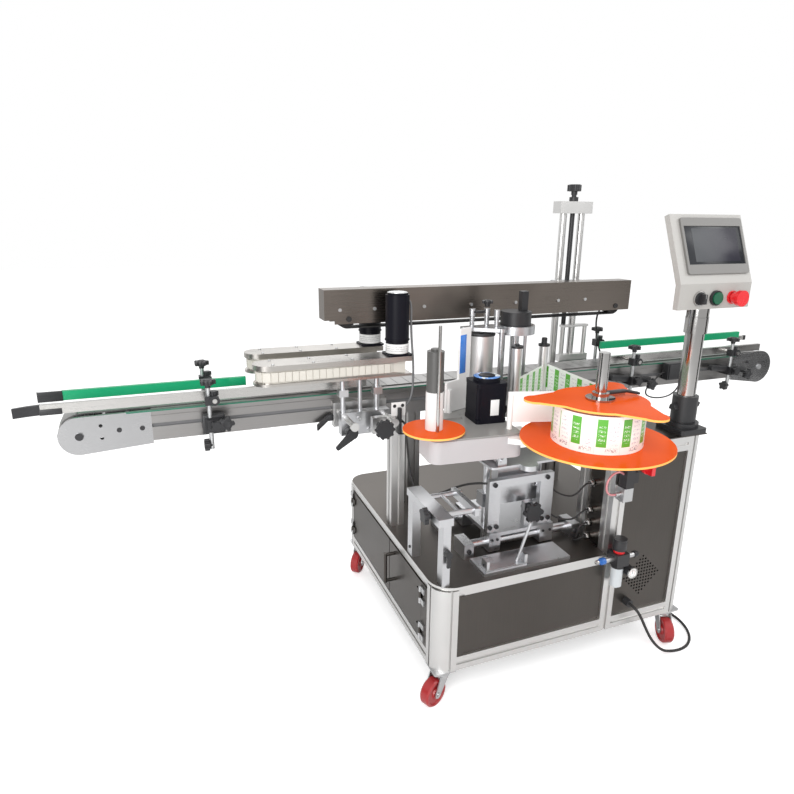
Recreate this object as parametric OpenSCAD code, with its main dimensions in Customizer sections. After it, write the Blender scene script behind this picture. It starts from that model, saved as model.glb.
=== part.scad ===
// Bench labelling machine: cabinet on castors, slat conveyor, top press belt,
// two chain guides, and a label head on an adjustable slide.
// Inside the modules X runs along the conveyor from the cabinet's left face,
// Y runs from the cabinet's front face to the back, and Z is up from the floor.

/* [Cabinet] */
// Width of the cabinet
cab_w = 805; // [760:5:900]
// Depth of the cabinet
cab_d = 750; // [720:5:800]
// Height of the table's top surface
table_z = 345; // [330:1:360]
// Thickness of the table top
table_t = 10; // [6:1:12]
// Width of an aluminium post or rail
bar_w = 40; // [35:1:45]
// Width of a rounded corner post
post_w = 60; // [55:1:65]
// Width of the electrical tower
tower_w = 298; // [280:1:305]
// Depth of the electrical tower
tower_d = 143; // [130:1:150]
// Height of the tower above the floor
tower_z = 657; // [640:1:665]
// Thickness of sheet panels
sheet_t = 3; // [2:0.5:4]

/* [Castors] */
// Height of a castor with its plate
castor_h = 100; // [95:1:110]
// Diameter of a castor wheel
wheel_dia = 75; // [70:1:80]
// Width of a castor wheel
wheel_w = 30; // [24:1:32]
// Distance from the swivel axis to the wheel axle
castor_trail = 30; // [24:1:34]

/* [Conveyor] */
// Left end of the conveyor's end plates
conv_x0 = -843; // [-880:1:-800]
// Right end of the conveyor's end plates
conv_x1 = 1627; // [1580:1:1660]
// Near face of the conveyor
conv_y = 470; // [465:1:475]
// Width of the conveyor over its sides
conv_w = 130; // [125:1:140]
// Height of the slat chain's carrying surface
conv_z = 738; // [730:1:745]
// Width of the slat chain
slat_w = 82.5; // [75:0.5:84]
// Pitch of the slat chain
slat_pitch = 38.1; // [38.1, 50.8]

/* [Press belt] */
// Underside of the press beam's housing
beam_z = 927; // [915:1:945]
// Height of the press beam's housing
beam_h = 98; // [90:1:104]
// Length of the press beam
beam_l = 1068; // [1000:1:1100]

/* [Label head] */
// Top of the head's gearbox housing
head_z = 700; // [700:1:706]
// Height of the head's gearbox housing
head_h = 62; // [56:1:66]
// Diameter of the reel's lower disc
reel_dia = 363; // [350:1:364]
// Diameter of a full label roll
roll_dia = 215; // [180:1:217]
// Width of the label web
web_w = 90; // [80:1:92]

/* [Console] */
// Diameter of the console pole
pole_dia = 48; // [42:1:50]
// Width of the console box
console_w = 235; // [225:1:245]

/* [Clearances] */
// Radial clearance of a shaft that turns or slides
run = 0.08; // [0.05:0.01:0.1]
// Gap between moving faces
gap = 0.3; // [0.3:0.1:0.5]

/* [Hidden] */

steel = [0.45, 0.42, 0.39];
alu = [0.78, 0.79, 0.8];
black = [0.1, 0.1, 0.11];
chrome = [0.85, 0.86, 0.88];
cream = [0.93, 0.92, 0.87];
orange = [0.95, 0.35, 0.08];
red = [0.75, 0.1, 0.08];
green = [0.05, 0.6, 0.4];

groove_w = 8;
groove_d = 5;
tip_x = conv_x0 - 79;
reel_x = 388;
reel_y = -48;
mid_x = (tip_x + conv_x1) / 2;
mid_y = (reel_y - reel_dia / 2 + cab_d) / 2;

frame_z1 = table_z - table_t;
side_y0 = conv_y;
side_y1 = conv_y + conv_w;
belt_y = conv_y + conv_w / 2;
tower_x = cab_w - tower_w;

// Moves the design frame to the machine's own origin on the floor.
module place() {
    translate([-mid_x, -mid_y, 0]) children();
}

// A box given by two opposite corners.
module box(a, b) {
    translate(a) cube(b - a);
}

// Round bars along each axis, from a start point.
module rod_x(p, l, r) {
    translate(p) rotate([0, 90, 0]) cylinder(h = l, r = r, $fn = 32);
}

module rod_y(p, l, r) {
    translate(p) rotate([-90, 0, 0]) cylinder(h = l, r = r, $fn = 32);
}

module rod_z(p, l, r) {
    translate(p) cylinder(h = l, r = r, $fn = 32);
}

// Section of a square aluminium bar with one groove in each face.
module bar_section(w, d) {
    difference() {
        square([w, d]);
        translate([(w - groove_w) / 2, -1]) square([groove_w, groove_d + 1]);
        translate([(w - groove_w) / 2, d - groove_d]) square([groove_w, groove_d + 1]);
        translate([-1, (d - groove_w) / 2]) square([groove_d + 1, groove_w]);
        translate([w - groove_d, (d - groove_w) / 2]) square([groove_d + 1, groove_w]);
    }
}

// Upright grooved bar from a lower corner.
module bar_z(p, h, w = bar_w, d = bar_w) {
    translate(p) linear_extrude(h) bar_section(w, d);
}

// Lying grooved bars from a lower corner.
module bar_x(p, l, w = bar_w, h = bar_w) {
    translate(p) rotate([90, 0, 90]) linear_extrude(l) bar_section(w, h);
}

module bar_y(p, l, w = bar_w, h = bar_w) {
    translate(p + [0, l, 0]) rotate([90, 0, 0]) linear_extrude(l) bar_section(w, h);
}

// Section of a corner post, rounded at its own origin corner.
module post_section() {
    round_r = post_w * 0.75;
    inner = post_w - 22;
    difference() {
        intersection() {
            square(post_w);
            union() {
                translate([round_r, round_r]) circle(round_r, $fn = 64);
                translate([round_r, 0]) square(post_w);
                translate([0, round_r]) square(post_w);
            }
        }
        translate([inner, -1]) square([groove_w * 0.7, groove_d + 1]);
        translate([-1, inner]) square([groove_d + 1, groove_w * 0.7]);
    }
}

// Flat plate with rounded corners, lying in XY from a lower corner.
module round_plate(size, r, h) {
    linear_extrude(h) union() {
        translate([r, 0]) square([size.x - 2 * r, size.y]);
        translate([0, r]) square([size.x, size.y - 2 * r]);
        for (x = [r, size.x - r], y = [r, size.y - r])
            translate([x, y]) circle(r, $fn = 48);
    }
}

// Star grip with lobes round a hub, growing along +Z.
module star_knob(r, h, lobes = 5) {
    lobe = min(0.28, 1.5 / lobes) * r;
    cylinder(h = h, r = r - lobe, $fn = 32);
    for (i = [0 : lobes - 1])
        rotate(i * 360 / lobes) translate([r - lobe, 0, 0.6]) cylinder(h = h - 1.2, r = lobe, $fn = 24);
    translate([0, 0, -h * 0.5]) cylinder(h = h * 0.6, r = r * 0.4, $fn = 32);
}

// Comb outline of a chain that runs round a closed line of joints.
function unit(v) = v / norm(v);
function left(v) = [-v.y, v.x];
function chain_outline(j, t, slot) = [
    for (i = [0 : len(j) - 1])
        let (a = j[i], b = j[(i + 1) % len(j)], d = unit(b - a), n = left(d))
            for (p = [
                a + d * slot / 2 + n * t * 0.5, a + d * slot / 2 + n * t,
                b - d * slot / 2 + n * t, b - d * slot / 2 + n * t * 0.5]) p];

module chain_loop(j, t, slot) {
    outer = chain_outline(j, t, slot);
    n = len(outer);
    polygon(concat(outer, j), [[for (i = [0 : n - 1]) i], [for (i = [0 : len(j) - 1]) n + i]]);
}

// Joints along a straight run and round an arc, without their last point.
function run_points(a, b, pitch) =
    let (n = max(1, round(norm(b - a) / pitch)))
        [for (i = [0 : n - 1]) a + (b - a) * i / n];
function arc_points(c, r, a0, a1, pitch) =
    let (n = max(3, round(abs(a1 - a0) * PI / 180 * r / pitch)))
        [for (i = [0 : n - 1]) let (a = a0 + (a1 - a0) * i / n) c + r * [cos(a), sin(a)]];

// Cabinet

module cabinet_frame() {
    low = castor_h;
    post_h = frame_z1 - low;
    rail = 20;
    color(alu) place() {
        translate([0, 0, low]) linear_extrude(post_h) post_section();
        translate([0, cab_d, low]) mirror([0, 1, 0]) linear_extrude(post_h) post_section();
        translate([cab_w, cab_d, low]) rotate(180) linear_extrude(post_h) post_section();
        translate([cab_w, 0, low]) mirror([1, 0, 0]) linear_extrude(tower_z - low) post_section();
        bar_z([tower_x, 0, low], tower_z - low);
        bar_x([post_w, 0, low], tower_x - post_w);
        bar_x([tower_x + bar_w, 0, low], tower_w - bar_w - post_w);
        bar_x([post_w, cab_d - bar_w, low], cab_w - 2 * post_w);
        for (x = [0, cab_w - bar_w]) bar_y([x, post_w, low], cab_d - 2 * post_w);
        box([post_w, 5, frame_z1 - rail], [tower_x, 5 + rail, frame_z1]);
        box([post_w, cab_d - rail, frame_z1 - rail], [cab_w - post_w, cab_d, frame_z1]);
        box([4, post_w, frame_z1 - rail], [4 + rail, cab_d - post_w, frame_z1]);
        box([cab_w - rail, post_w, frame_z1 - rail], [cab_w, cab_d - post_w, frame_z1]);
        box([18, door_split - 8, low + bar_w], [34, door_split + 8, frame_z1 - rail]);
        bar_x([tower_x + bar_w, 0, tower_z - bar_w], tower_w - bar_w - post_w);
        for (x = [tower_x, cab_w - bar_w]) {
            bar_z([x, tower_d - bar_w, table_z], tower_z - table_z);
            bar_y([x, x > tower_x ? post_w : bar_w, tower_z - bar_w],
                tower_d - bar_w - (x > tower_x ? post_w : bar_w));
        }
        bar_x([tower_x + bar_w, tower_d - bar_w, tower_z - bar_w], tower_w - 2 * bar_w);
    }
}

door_split = 334;
door_y0 = 97;
door_y1 = cab_d - 62;
door_z0 = castor_h + bar_w + 2;
door_z1 = frame_z1 - 22;
strip_x1 = 79;
vent_x = tower_x + 136;
gland_x = tower_x + 90;
gland_z = 177;
switch_x = tower_x + 104;
switch_z = 590;

// Square field of round holes turned by 45 degrees.
module vent_holes(x, z, half, step) {
    n = floor(half / step);
    for (i = [-n : n], j = [-n : n])
        if (abs(i) + abs(j) <= n)
            rod_y([x + i * step, 0, z + j * step], 20, step * 0.3);
}

module cabinet_panels() {
    y = 6;
    z0 = castor_h + bar_w;
    z1 = frame_z1 - 20;
    color(steel) place() {
        box([strip_x1, y, z0], [tower_x, y + sheet_t, z1]);
        box([post_w, 1, z0], [strip_x1, y + sheet_t, z1]);
        box([0, post_w, z0], [sheet_t, door_y0 - 2, z1]);
        difference() {
            box([tower_x + bar_w, y, z0], [cab_w - post_w, y + sheet_t, tower_z - bar_w]);
            vent_holes(vent_x, 250, 62, 10);
            rod_y([gland_x, 0, gland_z], 20, 8 + run);
            rod_y([switch_x, 0, switch_z], 20, 6 + run);
        }
        box([cab_w - y - sheet_t, post_w, z0], [cab_w - y, cab_d - post_w, z1]);
        box([post_w, cab_d - y - sheet_t, z0], [cab_w - post_w, cab_d - y, z1]);
        box([36, post_w, z0], [cab_w - y - sheet_t, cab_d - post_w, z0 + sheet_t]);
        box([cab_w - y - sheet_t, post_w, table_z], [cab_w - y, tower_d - bar_w, tower_z - bar_w]);
        difference() {
            box([tower_x + y, bar_w, table_z], [tower_x + y + sheet_t, tower_d - bar_w, tower_z - bar_w]);
            for (z = gland_heights) rod_x([tower_x, 72, z], 20, 8 + run);
        }
        box([tower_x + bar_w, tower_d - y - sheet_t, table_z],
            [cab_w - bar_w, tower_d - y, tower_z - bar_w]);
        box([tower_x, 0, tower_z], [cab_w, tower_d, tower_z + sheet_t]);
    }
}

gland_heights = [368, 409, 449, 529];

module table_top() {
    r = 60;
    color([0.5, 0.48, 0.45]) place() difference() {
        union() {
            translate([0, 0, frame_z1 + 3]) round_plate([cab_w, cab_d], r, table_t - 3);
            translate([4, 4, frame_z1]) round_plate([cab_w - 8, cab_d - 8], r - 4, 3);
        }
        box([tower_x, -1, frame_z1 - 1], [cab_w + 1, post_w, table_z + 1]);
    }
}

hinge_r = 4;
hinge_x = -hinge_r;

// Hollow door pan with its hinge leaves, on one side of the split.
module door(y0, y1, hinge_y, side) {
    depth = 12;
    difference() {
        box([0.5, y0, door_z0], [depth, y1, door_z1]);
        box([0.5 + sheet_t, y0 + sheet_t, door_z0 + sheet_t],
            [depth + 1, y1 - sheet_t, door_z1 - sheet_t]);
    }
    for (z = hinge_heights) difference() {
        union() {
            box([hinge_x, min(hinge_y, hinge_y + side * 24), z - 8.7],
                [0.5, max(hinge_y, hinge_y + side * 24), z + 8.7]);
            rod_z([hinge_x, hinge_y, z - 8.7], 17.4, hinge_r);
        }
        rod_z([hinge_x, hinge_y, z - 9], 18, 2 + run);
    }
}

hinge_heights = [door_z0 + 32, door_z1 - 32];

module door_front() {
    grip_y = 292;
    grip_z = 250;
    half = 42;
    color(steel) place() {
        door(door_y0, door_split - 2, door_y0 - 1.5, 1);
        for (z = [grip_z - half, grip_z + half]) rod_x([-28, grip_y, z], 28.5, 5);
        rod_z([-28, grip_y, grip_z - half - 5], 2 * half + 10, 5);
    }
}

module door_rear() {
    color(steel) place() door(door_split + 2, door_y1, door_y1 + 1.5, -1);
}

castor_x = [32, cab_w - 32];
castor_y = [32, cab_d - 40];
// Heading of each castor, front left, front right, rear left, rear right
castor_turn = [205, 250, 230, 240];
function castor_at(i) = [castor_x[i % 2], castor_y[i < 2 ? 0 : 1]];

module steel_hardware() {
    plate = 4;
    color([0.5, 0.5, 0.52]) place() {
        for (i = [0 : 3]) translate(castor_at(i)) {
            translate([-32, -32, castor_h - plate]) round_plate([64, 64], 6, plate);
            rod_z([0, 0, castor_h - 12], 9, 24);
            rod_z([0, 0, castor_h - 28], 20, 6);
            rod_z([0, 0, castor_h - 28], 7, 10);
        }
        for (z = hinge_heights) {
            hinge_leaf(door_y0 - 1.5, z, -1);
            hinge_leaf(door_y1 + 1.5, z, 1);
        }
    }
}

// Fixed leaf of a door hinge with its pin and two knuckles.
module hinge_leaf(y, z, side) {
    h = 25;
    rod_z([hinge_x, y, z - h], 2 * h, 2);
    for (z0 = [z - h, z + 9]) {
        rod_z([hinge_x, y, z0], h - 9, hinge_r);
        box([hinge_x, min(y, y + side * 22), z0], [0, max(y, y + side * 22), z0 + h - 9]);
    }
}

// Swivel fork with its axle and brake pedal, pointing along +X.
module fork(i) {
    crown_z = castor_h - 20.5;
    axle_z = wheel_dia / 2;
    leg = wheel_w / 2 + 1.5;
    leg_t = 3;
    color([0.6, 0.61, 0.63]) place() translate(castor_at(i)) rotate(castor_turn[i]) {
        difference() {
            union() {
                rod_z([0, 0, crown_z], 8, 24);
                box([0, -leg - leg_t, crown_z], [16, leg + leg_t, crown_z + 3]);
            }
            rod_z([0, 0, crown_z - 1], 10, 6 + run);
        }
        for (s = [-1, 1]) translate([0, s > 0 ? leg + leg_t : -leg, 0]) rotate([90, 0, 0])
            linear_extrude(leg_t) {
                polygon([[-16, crown_z + 3], [22, crown_z + 3], [castor_trail + 11, axle_z + 2],
                    [castor_trail - 11, axle_z - 2]]);
                translate([castor_trail, axle_z]) circle(11, $fn = 32);
            }
        rod_y([castor_trail, -leg - leg_t - 3, axle_z], 2 * (leg + leg_t + 3), 5);
        translate([-18, 0, crown_z - 2]) rotate([0, -25, 0])
            translate([-16, -12, 0]) cube([22, 24, 3]);
    }
}

module wheel(i) {
    axle_z = wheel_dia / 2;
    tread = 3;
    color(red) place() translate(castor_at(i)) rotate(castor_turn[i])
        translate([castor_trail, 0, axle_z]) rotate([90, 0, 0]) difference() {
            rotate_extrude($fn = 64) polygon([
                [5 + run, -wheel_w / 2], [13, -wheel_w / 2], [15, -wheel_w / 2 + 4],
                [wheel_dia / 2 - 9, -wheel_w / 2 + 4], [wheel_dia / 2 - 7, -wheel_w / 2 + 1],
                [wheel_dia / 2 - tread, -wheel_w / 2 + 1], [wheel_dia / 2, -wheel_w / 2 + 5],
                [wheel_dia / 2, wheel_w / 2 - 5], [wheel_dia / 2 - tread, wheel_w / 2 - 1],
                [wheel_dia / 2 - 7, wheel_w / 2 - 1], [wheel_dia / 2 - 9, wheel_w / 2 - 4],
                [15, wheel_w / 2 - 4], [13, wheel_w / 2], [5 + run, wheel_w / 2]]);
        }
}

module fork_fl() {
    fork(0);
}

module fork_fr() {
    fork(1);
}

module fork_rl() {
    fork(2);
}

module fork_rr() {
    fork(3);
}

module wheel_fl() {
    wheel(0);
}

module wheel_fr() {
    wheel(1);
}

module wheel_rl() {
    wheel(2);
}

module wheel_rr() {
    wheel(3);
}

// Conveyor

conv_c = belt_y;
side_t = 20;
side_z0 = 652;
side_z1 = conv_z - 3;
end_r = 55;
slat_t = 5;
axis_z = conv_z - end_r;
idler_x = conv_x0 + end_r + 3;
drive_r = end_r + 6;
drive_x = conv_x1 - drive_r;
join_l = conv_x0 + 230;
join_r = conv_x1 - 198;
return_z = side_z0 + 10;
shaft_r = 10;

// Section of one side channel, outer face at zero, inner ledges to the right.
module side_section() {
    h = side_z1 - side_z0;
    ledge = conv_w / 2 - slat_w / 2 + 8;
    difference() {
        union() {
            square([side_t, h]);
            translate([0, conv_z - slat_t - side_z0 - 5]) square([ledge, 5 - gap]);
            square([ledge, return_z - slat_t - side_z0 - gap]);
        }
        translate([-1, h / 2 - 5]) square([7, 10]);
        translate([-1, h - 16]) square([3, 5]);
    }
}

module conveyor_sides() {
    leg_x = [110, 640];
    color(alu) place() {
        for (s = [0, 1]) translate([join_l, s ? side_y1 : side_y0, side_z0]) mirror([0, s, 0])
            rotate([90, 0, 90]) linear_extrude(join_r - join_l) side_section();
        for (x = [join_l + 60, 0, 500, 1000, join_r - 60])
            rod_y([x, side_y0 + side_t - 1, side_z0 + 40], conv_w - 2 * side_t + 2, 10);
        for (x = leg_x) {
            for (y = [side_y0, side_y1 - bar_w]) bar_z([x, y, table_z], side_z0 - table_z);
            bar_y([x, side_y0 + bar_w, 480], conv_w - 2 * bar_w);
        }
    }
}

plate_t = 10;

// Outline of an end plate in XZ, round at its outer end.
module end_outline(len_x, r, rise) {
    circle(r, $fn = 64);
    polygon([[0, -r], [len_x, -r + rise], [len_x, side_z1 - axis_z], [0, r]]);
}

module end_plates() {
    color(chrome) place() for (y = [side_y0, side_y1 - plate_t]) {
        difference() {
            translate([idler_x, y + plate_t, axis_z]) rotate([90, 0, 0])
                linear_extrude(plate_t) end_outline(join_l - idler_x, end_r - 5.5, 11);
            for (p = [[-734, 706], [-734, 673], [-692, 690], [-637, 689]])
                rod_y([p.x - (-843 - conv_x0), y - 1, p.y], plate_t + 2, 4.5);
            rod_y([idler_x, y - 1, axis_z], plate_t + 2, shaft_r + run);
        }
        difference() {
            translate([drive_x, y + plate_t, axis_z]) rotate([90, 0, 0])
                linear_extrude(plate_t) mirror([1, 0, 0]) end_outline(drive_x - join_r, drive_r, 20);
            for (p = [[1501, 706], [1474, 688]])
                rod_y([p.x - (1627 - conv_x1), y - 1, p.y], plate_t + 2, 4.5);
            rod_y([drive_x, y - 1, axis_z], plate_t + 2, shaft_r + run);
        }
    }
    color(chrome) place() for (x = [join_l - 60, join_r + 60])
        rod_y([x, side_y0 + plate_t - 1, axis_z + 20], conv_w - 2 * plate_t + 2, 10);
}

// Joints of the slat chain in XZ: carrying run, right end, return run, left end.
function slat_joints() =
    let (r = end_r - slat_t, cl = [idler_x, axis_z], cr = [drive_x, axis_z],
        tl = cl + r * [cos(282), sin(282)], tr = cr + r * [cos(258), sin(258)],
        bl = [join_l - 10, return_z], br = [join_r + 10, return_z])
        concat(
            run_points(cr + [0, r], cl + [0, r], slat_pitch),
            arc_points(cl, r, 90, 282, slat_pitch),
            run_points(tl, bl, slat_pitch),
            run_points(bl, br, slat_pitch),
            run_points(br, tr, slat_pitch),
            arc_points(cr, r, 258, 450, slat_pitch));

module slat_chain() {
    j = slat_joints();
    rev = [for (i = [len(j) - 1 : -1 : 0]) j[i]];
    color([0.7, 0.72, 0.74]) place() translate([0, conv_c + slat_w / 2, 0]) rotate([90, 0, 0])
        linear_extrude(slat_w) chain_loop(rev, slat_t, 1.6);
}

// Shaft with two toothed discs that carry the chain's joints.
module sprocket(x) {
    wrap = max(3, round(192 * PI / 180 * (end_r - slat_t) / slat_pitch));
    tooth_r = (end_r - slat_t) * cos(96 / wrap) - 0.5;
    color([0.5, 0.5, 0.52]) place() {
        rod_y([x, side_y0 - 4, axis_z], conv_w + 8, shaft_r);
        for (y = [conv_c - 22, conv_c + 10]) translate([x, y + 12, axis_z]) rotate([90, 0, 0])
            linear_extrude(12) difference() {
                circle(tooth_r, $fn = 64);
                for (a = [0 : 40 : 320]) rotate(a) translate([tooth_r, 0]) circle(5, $fn = 24);
            }
        rod_y([x, conv_c - 30, axis_z], 60, 20);
    }
}

module drive_sprocket() {
    sprocket(drive_x);
}

module idler_sprocket() {
    sprocket(idler_x);
}

// Guide rails

rail_t = 12;
rail_h = 25;
rail_gap = 10;
front_rail_z = 745;
rear_rail_z = [752, 775];
left_clamp_x = -455;
right_clamp_x = 935;
third_clamp_x = 1385;
clamp_y = conv_y - 34;
rail_rod_r = 6;

module rail_front() {
    y = conv_y + rail_gap;
    z = front_rail_z;
    bar_top = z + rail_h;
    color(chrome) place() {
        box([conv_x0 - 21, y, z], [-20, y + rail_t, bar_top]);
        box([860, y, z], [conv_x1 - 60, y + rail_t, bar_top]);
        translate([tip_x, y - 12, z]) linear_extrude(rail_h)
            polygon([[0, 0], [0, 6], [30, 18], [58, 24], [58, 12], [32, 8]]);
        for (x = [left_clamp_x, right_clamp_x, third_clamp_x])
            rod_y([x, y - 62, z + rail_h / 2], 62, rail_rod_r);
    }
}

module rail_rear() {
    y = side_y1 - rail_gap - rail_t;
    color(green) place() {
        box([-826, y, rear_rail_z[0]], [-400, y + rail_t, rear_rail_z[0] + rail_h]);
        box([900, y, rear_rail_z[1]], [conv_x1 - 60, y + rail_t, rear_rail_z[1] + rail_h]);
        rod_y([left_clamp_x, y + rail_t, rear_rail_z[0] + rail_h / 2], 62, rail_rod_r);
        for (x = [right_clamp_x, third_clamp_x])
            rod_y([x, y + rail_t, rear_rail_z[1] + rail_h / 2], 62, rail_rod_r);
    }
}

// Post clamp on one side of the conveyor, carrying a rail rod at rod height.
// side is -1 at the near face and 1 at the far face.
module rail_bracket(x, side, rod_h) {
    face = side < 0 ? side_y0 : side_y1;
    post_y = face + side * 34;
    low = axis_z - 60;
    r = rail_rod_r;
    post_x = x - 2 * r - 2;
    box([post_x - 8, min(face, face + side * 46), 676], [x + 12, max(face, face + side * 46), 706]);
    rod_z([post_x, post_y, low], rod_h - low + 34, r);
    translate([x, face + side * 46, 691]) rotate([side * -90, 0, 0]) star_knob(16, 14);
    difference() {
        union() {
            rod_y([x, post_y - 15, rod_h], 30, 13);
            box([post_x - 10, post_y - 12, rod_h - 12], [x, post_y + 12, rod_h + 12]);
        }
        rod_y([x, post_y - 20, rod_h], 40, r + run);
    }
    translate([x, post_y, rod_h + 12]) star_knob(12, 12, 3);
    translate([post_x - r, post_y, low + 12]) rotate([0, -90, 0]) star_knob(17, 14);
}

module rail_brackets() {
    color(black) place() for (x = [left_clamp_x, right_clamp_x, third_clamp_x]) {
        rail_bracket(x, -1, front_rail_z + rail_h / 2);
        rail_bracket(x, 1, rear_rail_z[x > 0 ? 1 : 0] + rail_h / 2);
    }
}

// Press belt over the conveyor

beam_x0 = -137;
beam_y = 500;
beam_d = 60;
beam_x1 = beam_x0 + beam_l;
lift_x = 789;
lift_y = 662;
lift_post_r = 12;
lift_span = 37;
lift_top = 1240;
lift_z0 = side_z0 + 4;
carriage_z = beam_z + 28;
carriage_h = 60;
screw_r = 8;

module lift_posts() {
    block = 39;
    color(alu) place() {
        for (s = [-1, 1]) rod_z([lift_x + s * lift_span, lift_y, lift_z0 + 10],
            lift_top - lift_z0 - 10, lift_post_r);
        difference() {
            box([lift_x - 65, lift_y - 22, lift_top], [lift_x + 65, lift_y + 22, lift_top + block]);
            rod_z([lift_x, lift_y, lift_top - 1], block + 2, screw_r + run);
        }
        difference() {
            box([lift_x - 62, side_y1, lift_z0], [lift_x + 62, lift_y + 24, lift_z0 + 40]);
            rod_z([lift_x, lift_y, lift_z0 + 20], 40, screw_r + run);
        }
        side_guide();
    }
}

// Small adjustable frame behind the conveyor that backs the bottle.
module side_guide() {
    y = side_y1 + 20;
    x0 = 757;
    x1 = 851;
    box([x0 - 6, side_y1, 676], [x1 + 6, side_y1 + 12, 706]);
    box([x0 - 12, y - 8, 676], [x1 + 12, y + 12, 706]);
    for (x = [x0, x1]) rod_z([x, y, 640], 216, 7);
    box([x0 - 12, y - 12, 733], [x1 + 12, y + 12, 757]);
    box([x0 - 6, y - 12, 855], [x1 + 6, y + 12, 863]);
    rod_z([(x0 + x1) / 2 - 8, y, 700], 200, 5);
    translate([(x0 + x1) / 2 - 8, y, 895]) star_knob(19, 24, 3);
}

module lift_screw() {
    top = lift_top + 39;
    color(black) place() {
        rod_z([lift_x, lift_y, lift_z0 + 20 + gap], top + 30 - lift_z0 - 20 - gap, screw_r);
        rod_z([lift_x, lift_y, top + gap], 14, 15);
        translate([lift_x, lift_y, top + 33]) star_knob(26, 22, 3);
    }
}

beam_wall = 3;

module beam_housing() {
    y1 = beam_y + beam_d;
    z1 = beam_z + beam_h;
    screw_x = [45, 149, 305, 462, 619, 778, 883];
    color(steel) place() difference() {
        union() {
            difference() {
                box([beam_x0, beam_y, beam_z], [beam_x1, y1, z1]);
                box([beam_x0 + beam_wall, beam_y + beam_wall, beam_z - 1],
                    [beam_x1 - beam_wall, y1 - beam_wall, z1 - beam_wall]);
            }
            for (x = screw_x) rod_y([beam_x0 + x, beam_y - 4, beam_z + 41], 5, 5);
        }
        for (x = [belt_x0 + belt_r, belt_x1 - belt_r])
            rod_y([x, beam_y - 1, belt_axis_z], beam_d + 2, 8);
        box([beam_x0 - 1, beam_y - 1, beam_z - 1], [beam_x0 + 30, y1 + 1, beam_z + 12]);
    }
}

belt_r = 30;
belt_x0 = beam_x0 + 42;
belt_x1 = beam_x1 - 26;
belt_axis_z = beam_z + 14;
belt_w = 40;

module press_belt() {
    y = belt_y + belt_w / 2;
    color(black) place() {
        translate([0, y, 0]) rotate([90, 0, 0]) linear_extrude(belt_w) difference() {
            belt_section(belt_r);
            belt_section(belt_r - 4);
        }
        for (x = [belt_x0 + belt_r, belt_x1 - belt_r]) {
            rod_y([x, belt_y - belt_w / 2 + 2, belt_axis_z], belt_w - 4, belt_r - 4);
            rod_y([x, beam_y - 3, belt_axis_z], beam_d + 6, 8);
        }
    }
}

module belt_section(r) {
    for (x = [belt_x0 + belt_r, belt_x1 - belt_r]) translate([x, belt_axis_z]) circle(r, $fn = 64);
    translate([belt_x0 + belt_r, belt_axis_z - r]) square([belt_x1 - belt_x0 - 2 * belt_r, 2 * r]);
}

module beam_carriage() {
    y1 = beam_y + beam_d;
    z0 = carriage_z;
    color(alu) place() {
        difference() {
            box([lift_x - 55, lift_y - 20, z0], [lift_x + 55, lift_y + 20, z0 + carriage_h]);
            for (s = [-1, 1]) rod_z([lift_x + s * lift_span, lift_y, z0 - 1],
                carriage_h + 2, lift_post_r + run);
            rod_z([lift_x, lift_y, z0 - 1], carriage_h + 2, screw_r + run);
        }
        box([lift_x - 45, y1, z0 + 6], [lift_x - 33, lift_y - 20, z0 + carriage_h - 6]);
        box([lift_x + 33, y1, z0 + 6], [lift_x + 45, lift_y - 20, z0 + carriage_h - 6]);
        box([lift_x - 33, y1, z0 + 6], [lift_x + 33, y1 + 8, z0 + carriage_h - 6]);
    }
}

// Chain guides beside the product

guide_x0 = -350;
guide_x1 = 95;
guide_w = 84;
guide_y = 410;
guide_z = 784;
guide_plate = 7;
guide_chain_h = 36;
carrier_z = 629;
carrier_h = 66;
rod_r = 8;
y_rods = [[-108, 680], [6, 680]];
rods_y = 312;
wheel_x = -28;
guide_posts = [-112, -12];

// Chain guide unit with its lower and upper plates, the chain between them.
// flip mirrors it for the far side.
module chain_guide(y0, x1) {
    r = guide_w / 2;
    plate = [x1 - guide_x0, guide_w];
    translate([guide_x0, y0, guide_z]) {
        guide_plate_shape(plate, guide_plate);
        translate([0, 0, guide_plate + guide_chain_h]) guide_plate_shape(plate, 14);
        translate([12, 8, guide_plate]) guide_plate_shape(plate - [30, 16], guide_chain_h);
        translate([0, 0, guide_plate + 5]) linear_extrude(guide_chain_h - 10)
            chain_loop(guide_joints(plate - [26, 6]), 5, 2);
    }
}

module guide_plate_shape(size, h) {
    r = size.y / 2;
    linear_extrude(h) union() {
        translate([r, r]) circle(r, $fn = 64);
        translate([r, 0]) square([size.x - r, size.y]);
    }
}

// Joints of a guide chain in XY, clockwise round the unit.
function guide_joints(size) =
    let (m = 6, r = size.y / 2 - m, a = [size.y / 2 + 4, size.y / 2 + 3], b = [size.x - size.y / 2, a.y])
        concat(
            run_points(a + [0, r], b + [0, r], 19),
            arc_points(b, r, 90, -90, 19),
            run_points(b - [0, r], a - [0, r], 19),
            arc_points(a, r, 270, 90, 19));

// Guide gear motor with its gearbox, standing on a guide.
module guide_motor(x, y) {
    z = guide_z + guide_plate + guide_chain_h + 14;
    translate([x, y, z]) {
        translate([-36, -34, 0]) round_plate([72, 68], 8, 5);
        rod_z([0, 0, 5], 38, 33);
        rod_z([0, 0, 43], 3, 36);
        rod_z([0, 0, 46], 126, 34);
        rod_z([0, 0, 172], 5, 30);
        for (a = [45 : 90 : 315]) rotate(a) translate([30, 0, 43]) cylinder(h = 4, r = 4, $fn = 16);
    }
}

module front_guide() {
    color(cream) place() chain_guide(guide_y, guide_x1);
}

module guide_motor_front() {
    color(black) place() guide_motor(62, guide_y + 36);
}

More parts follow.
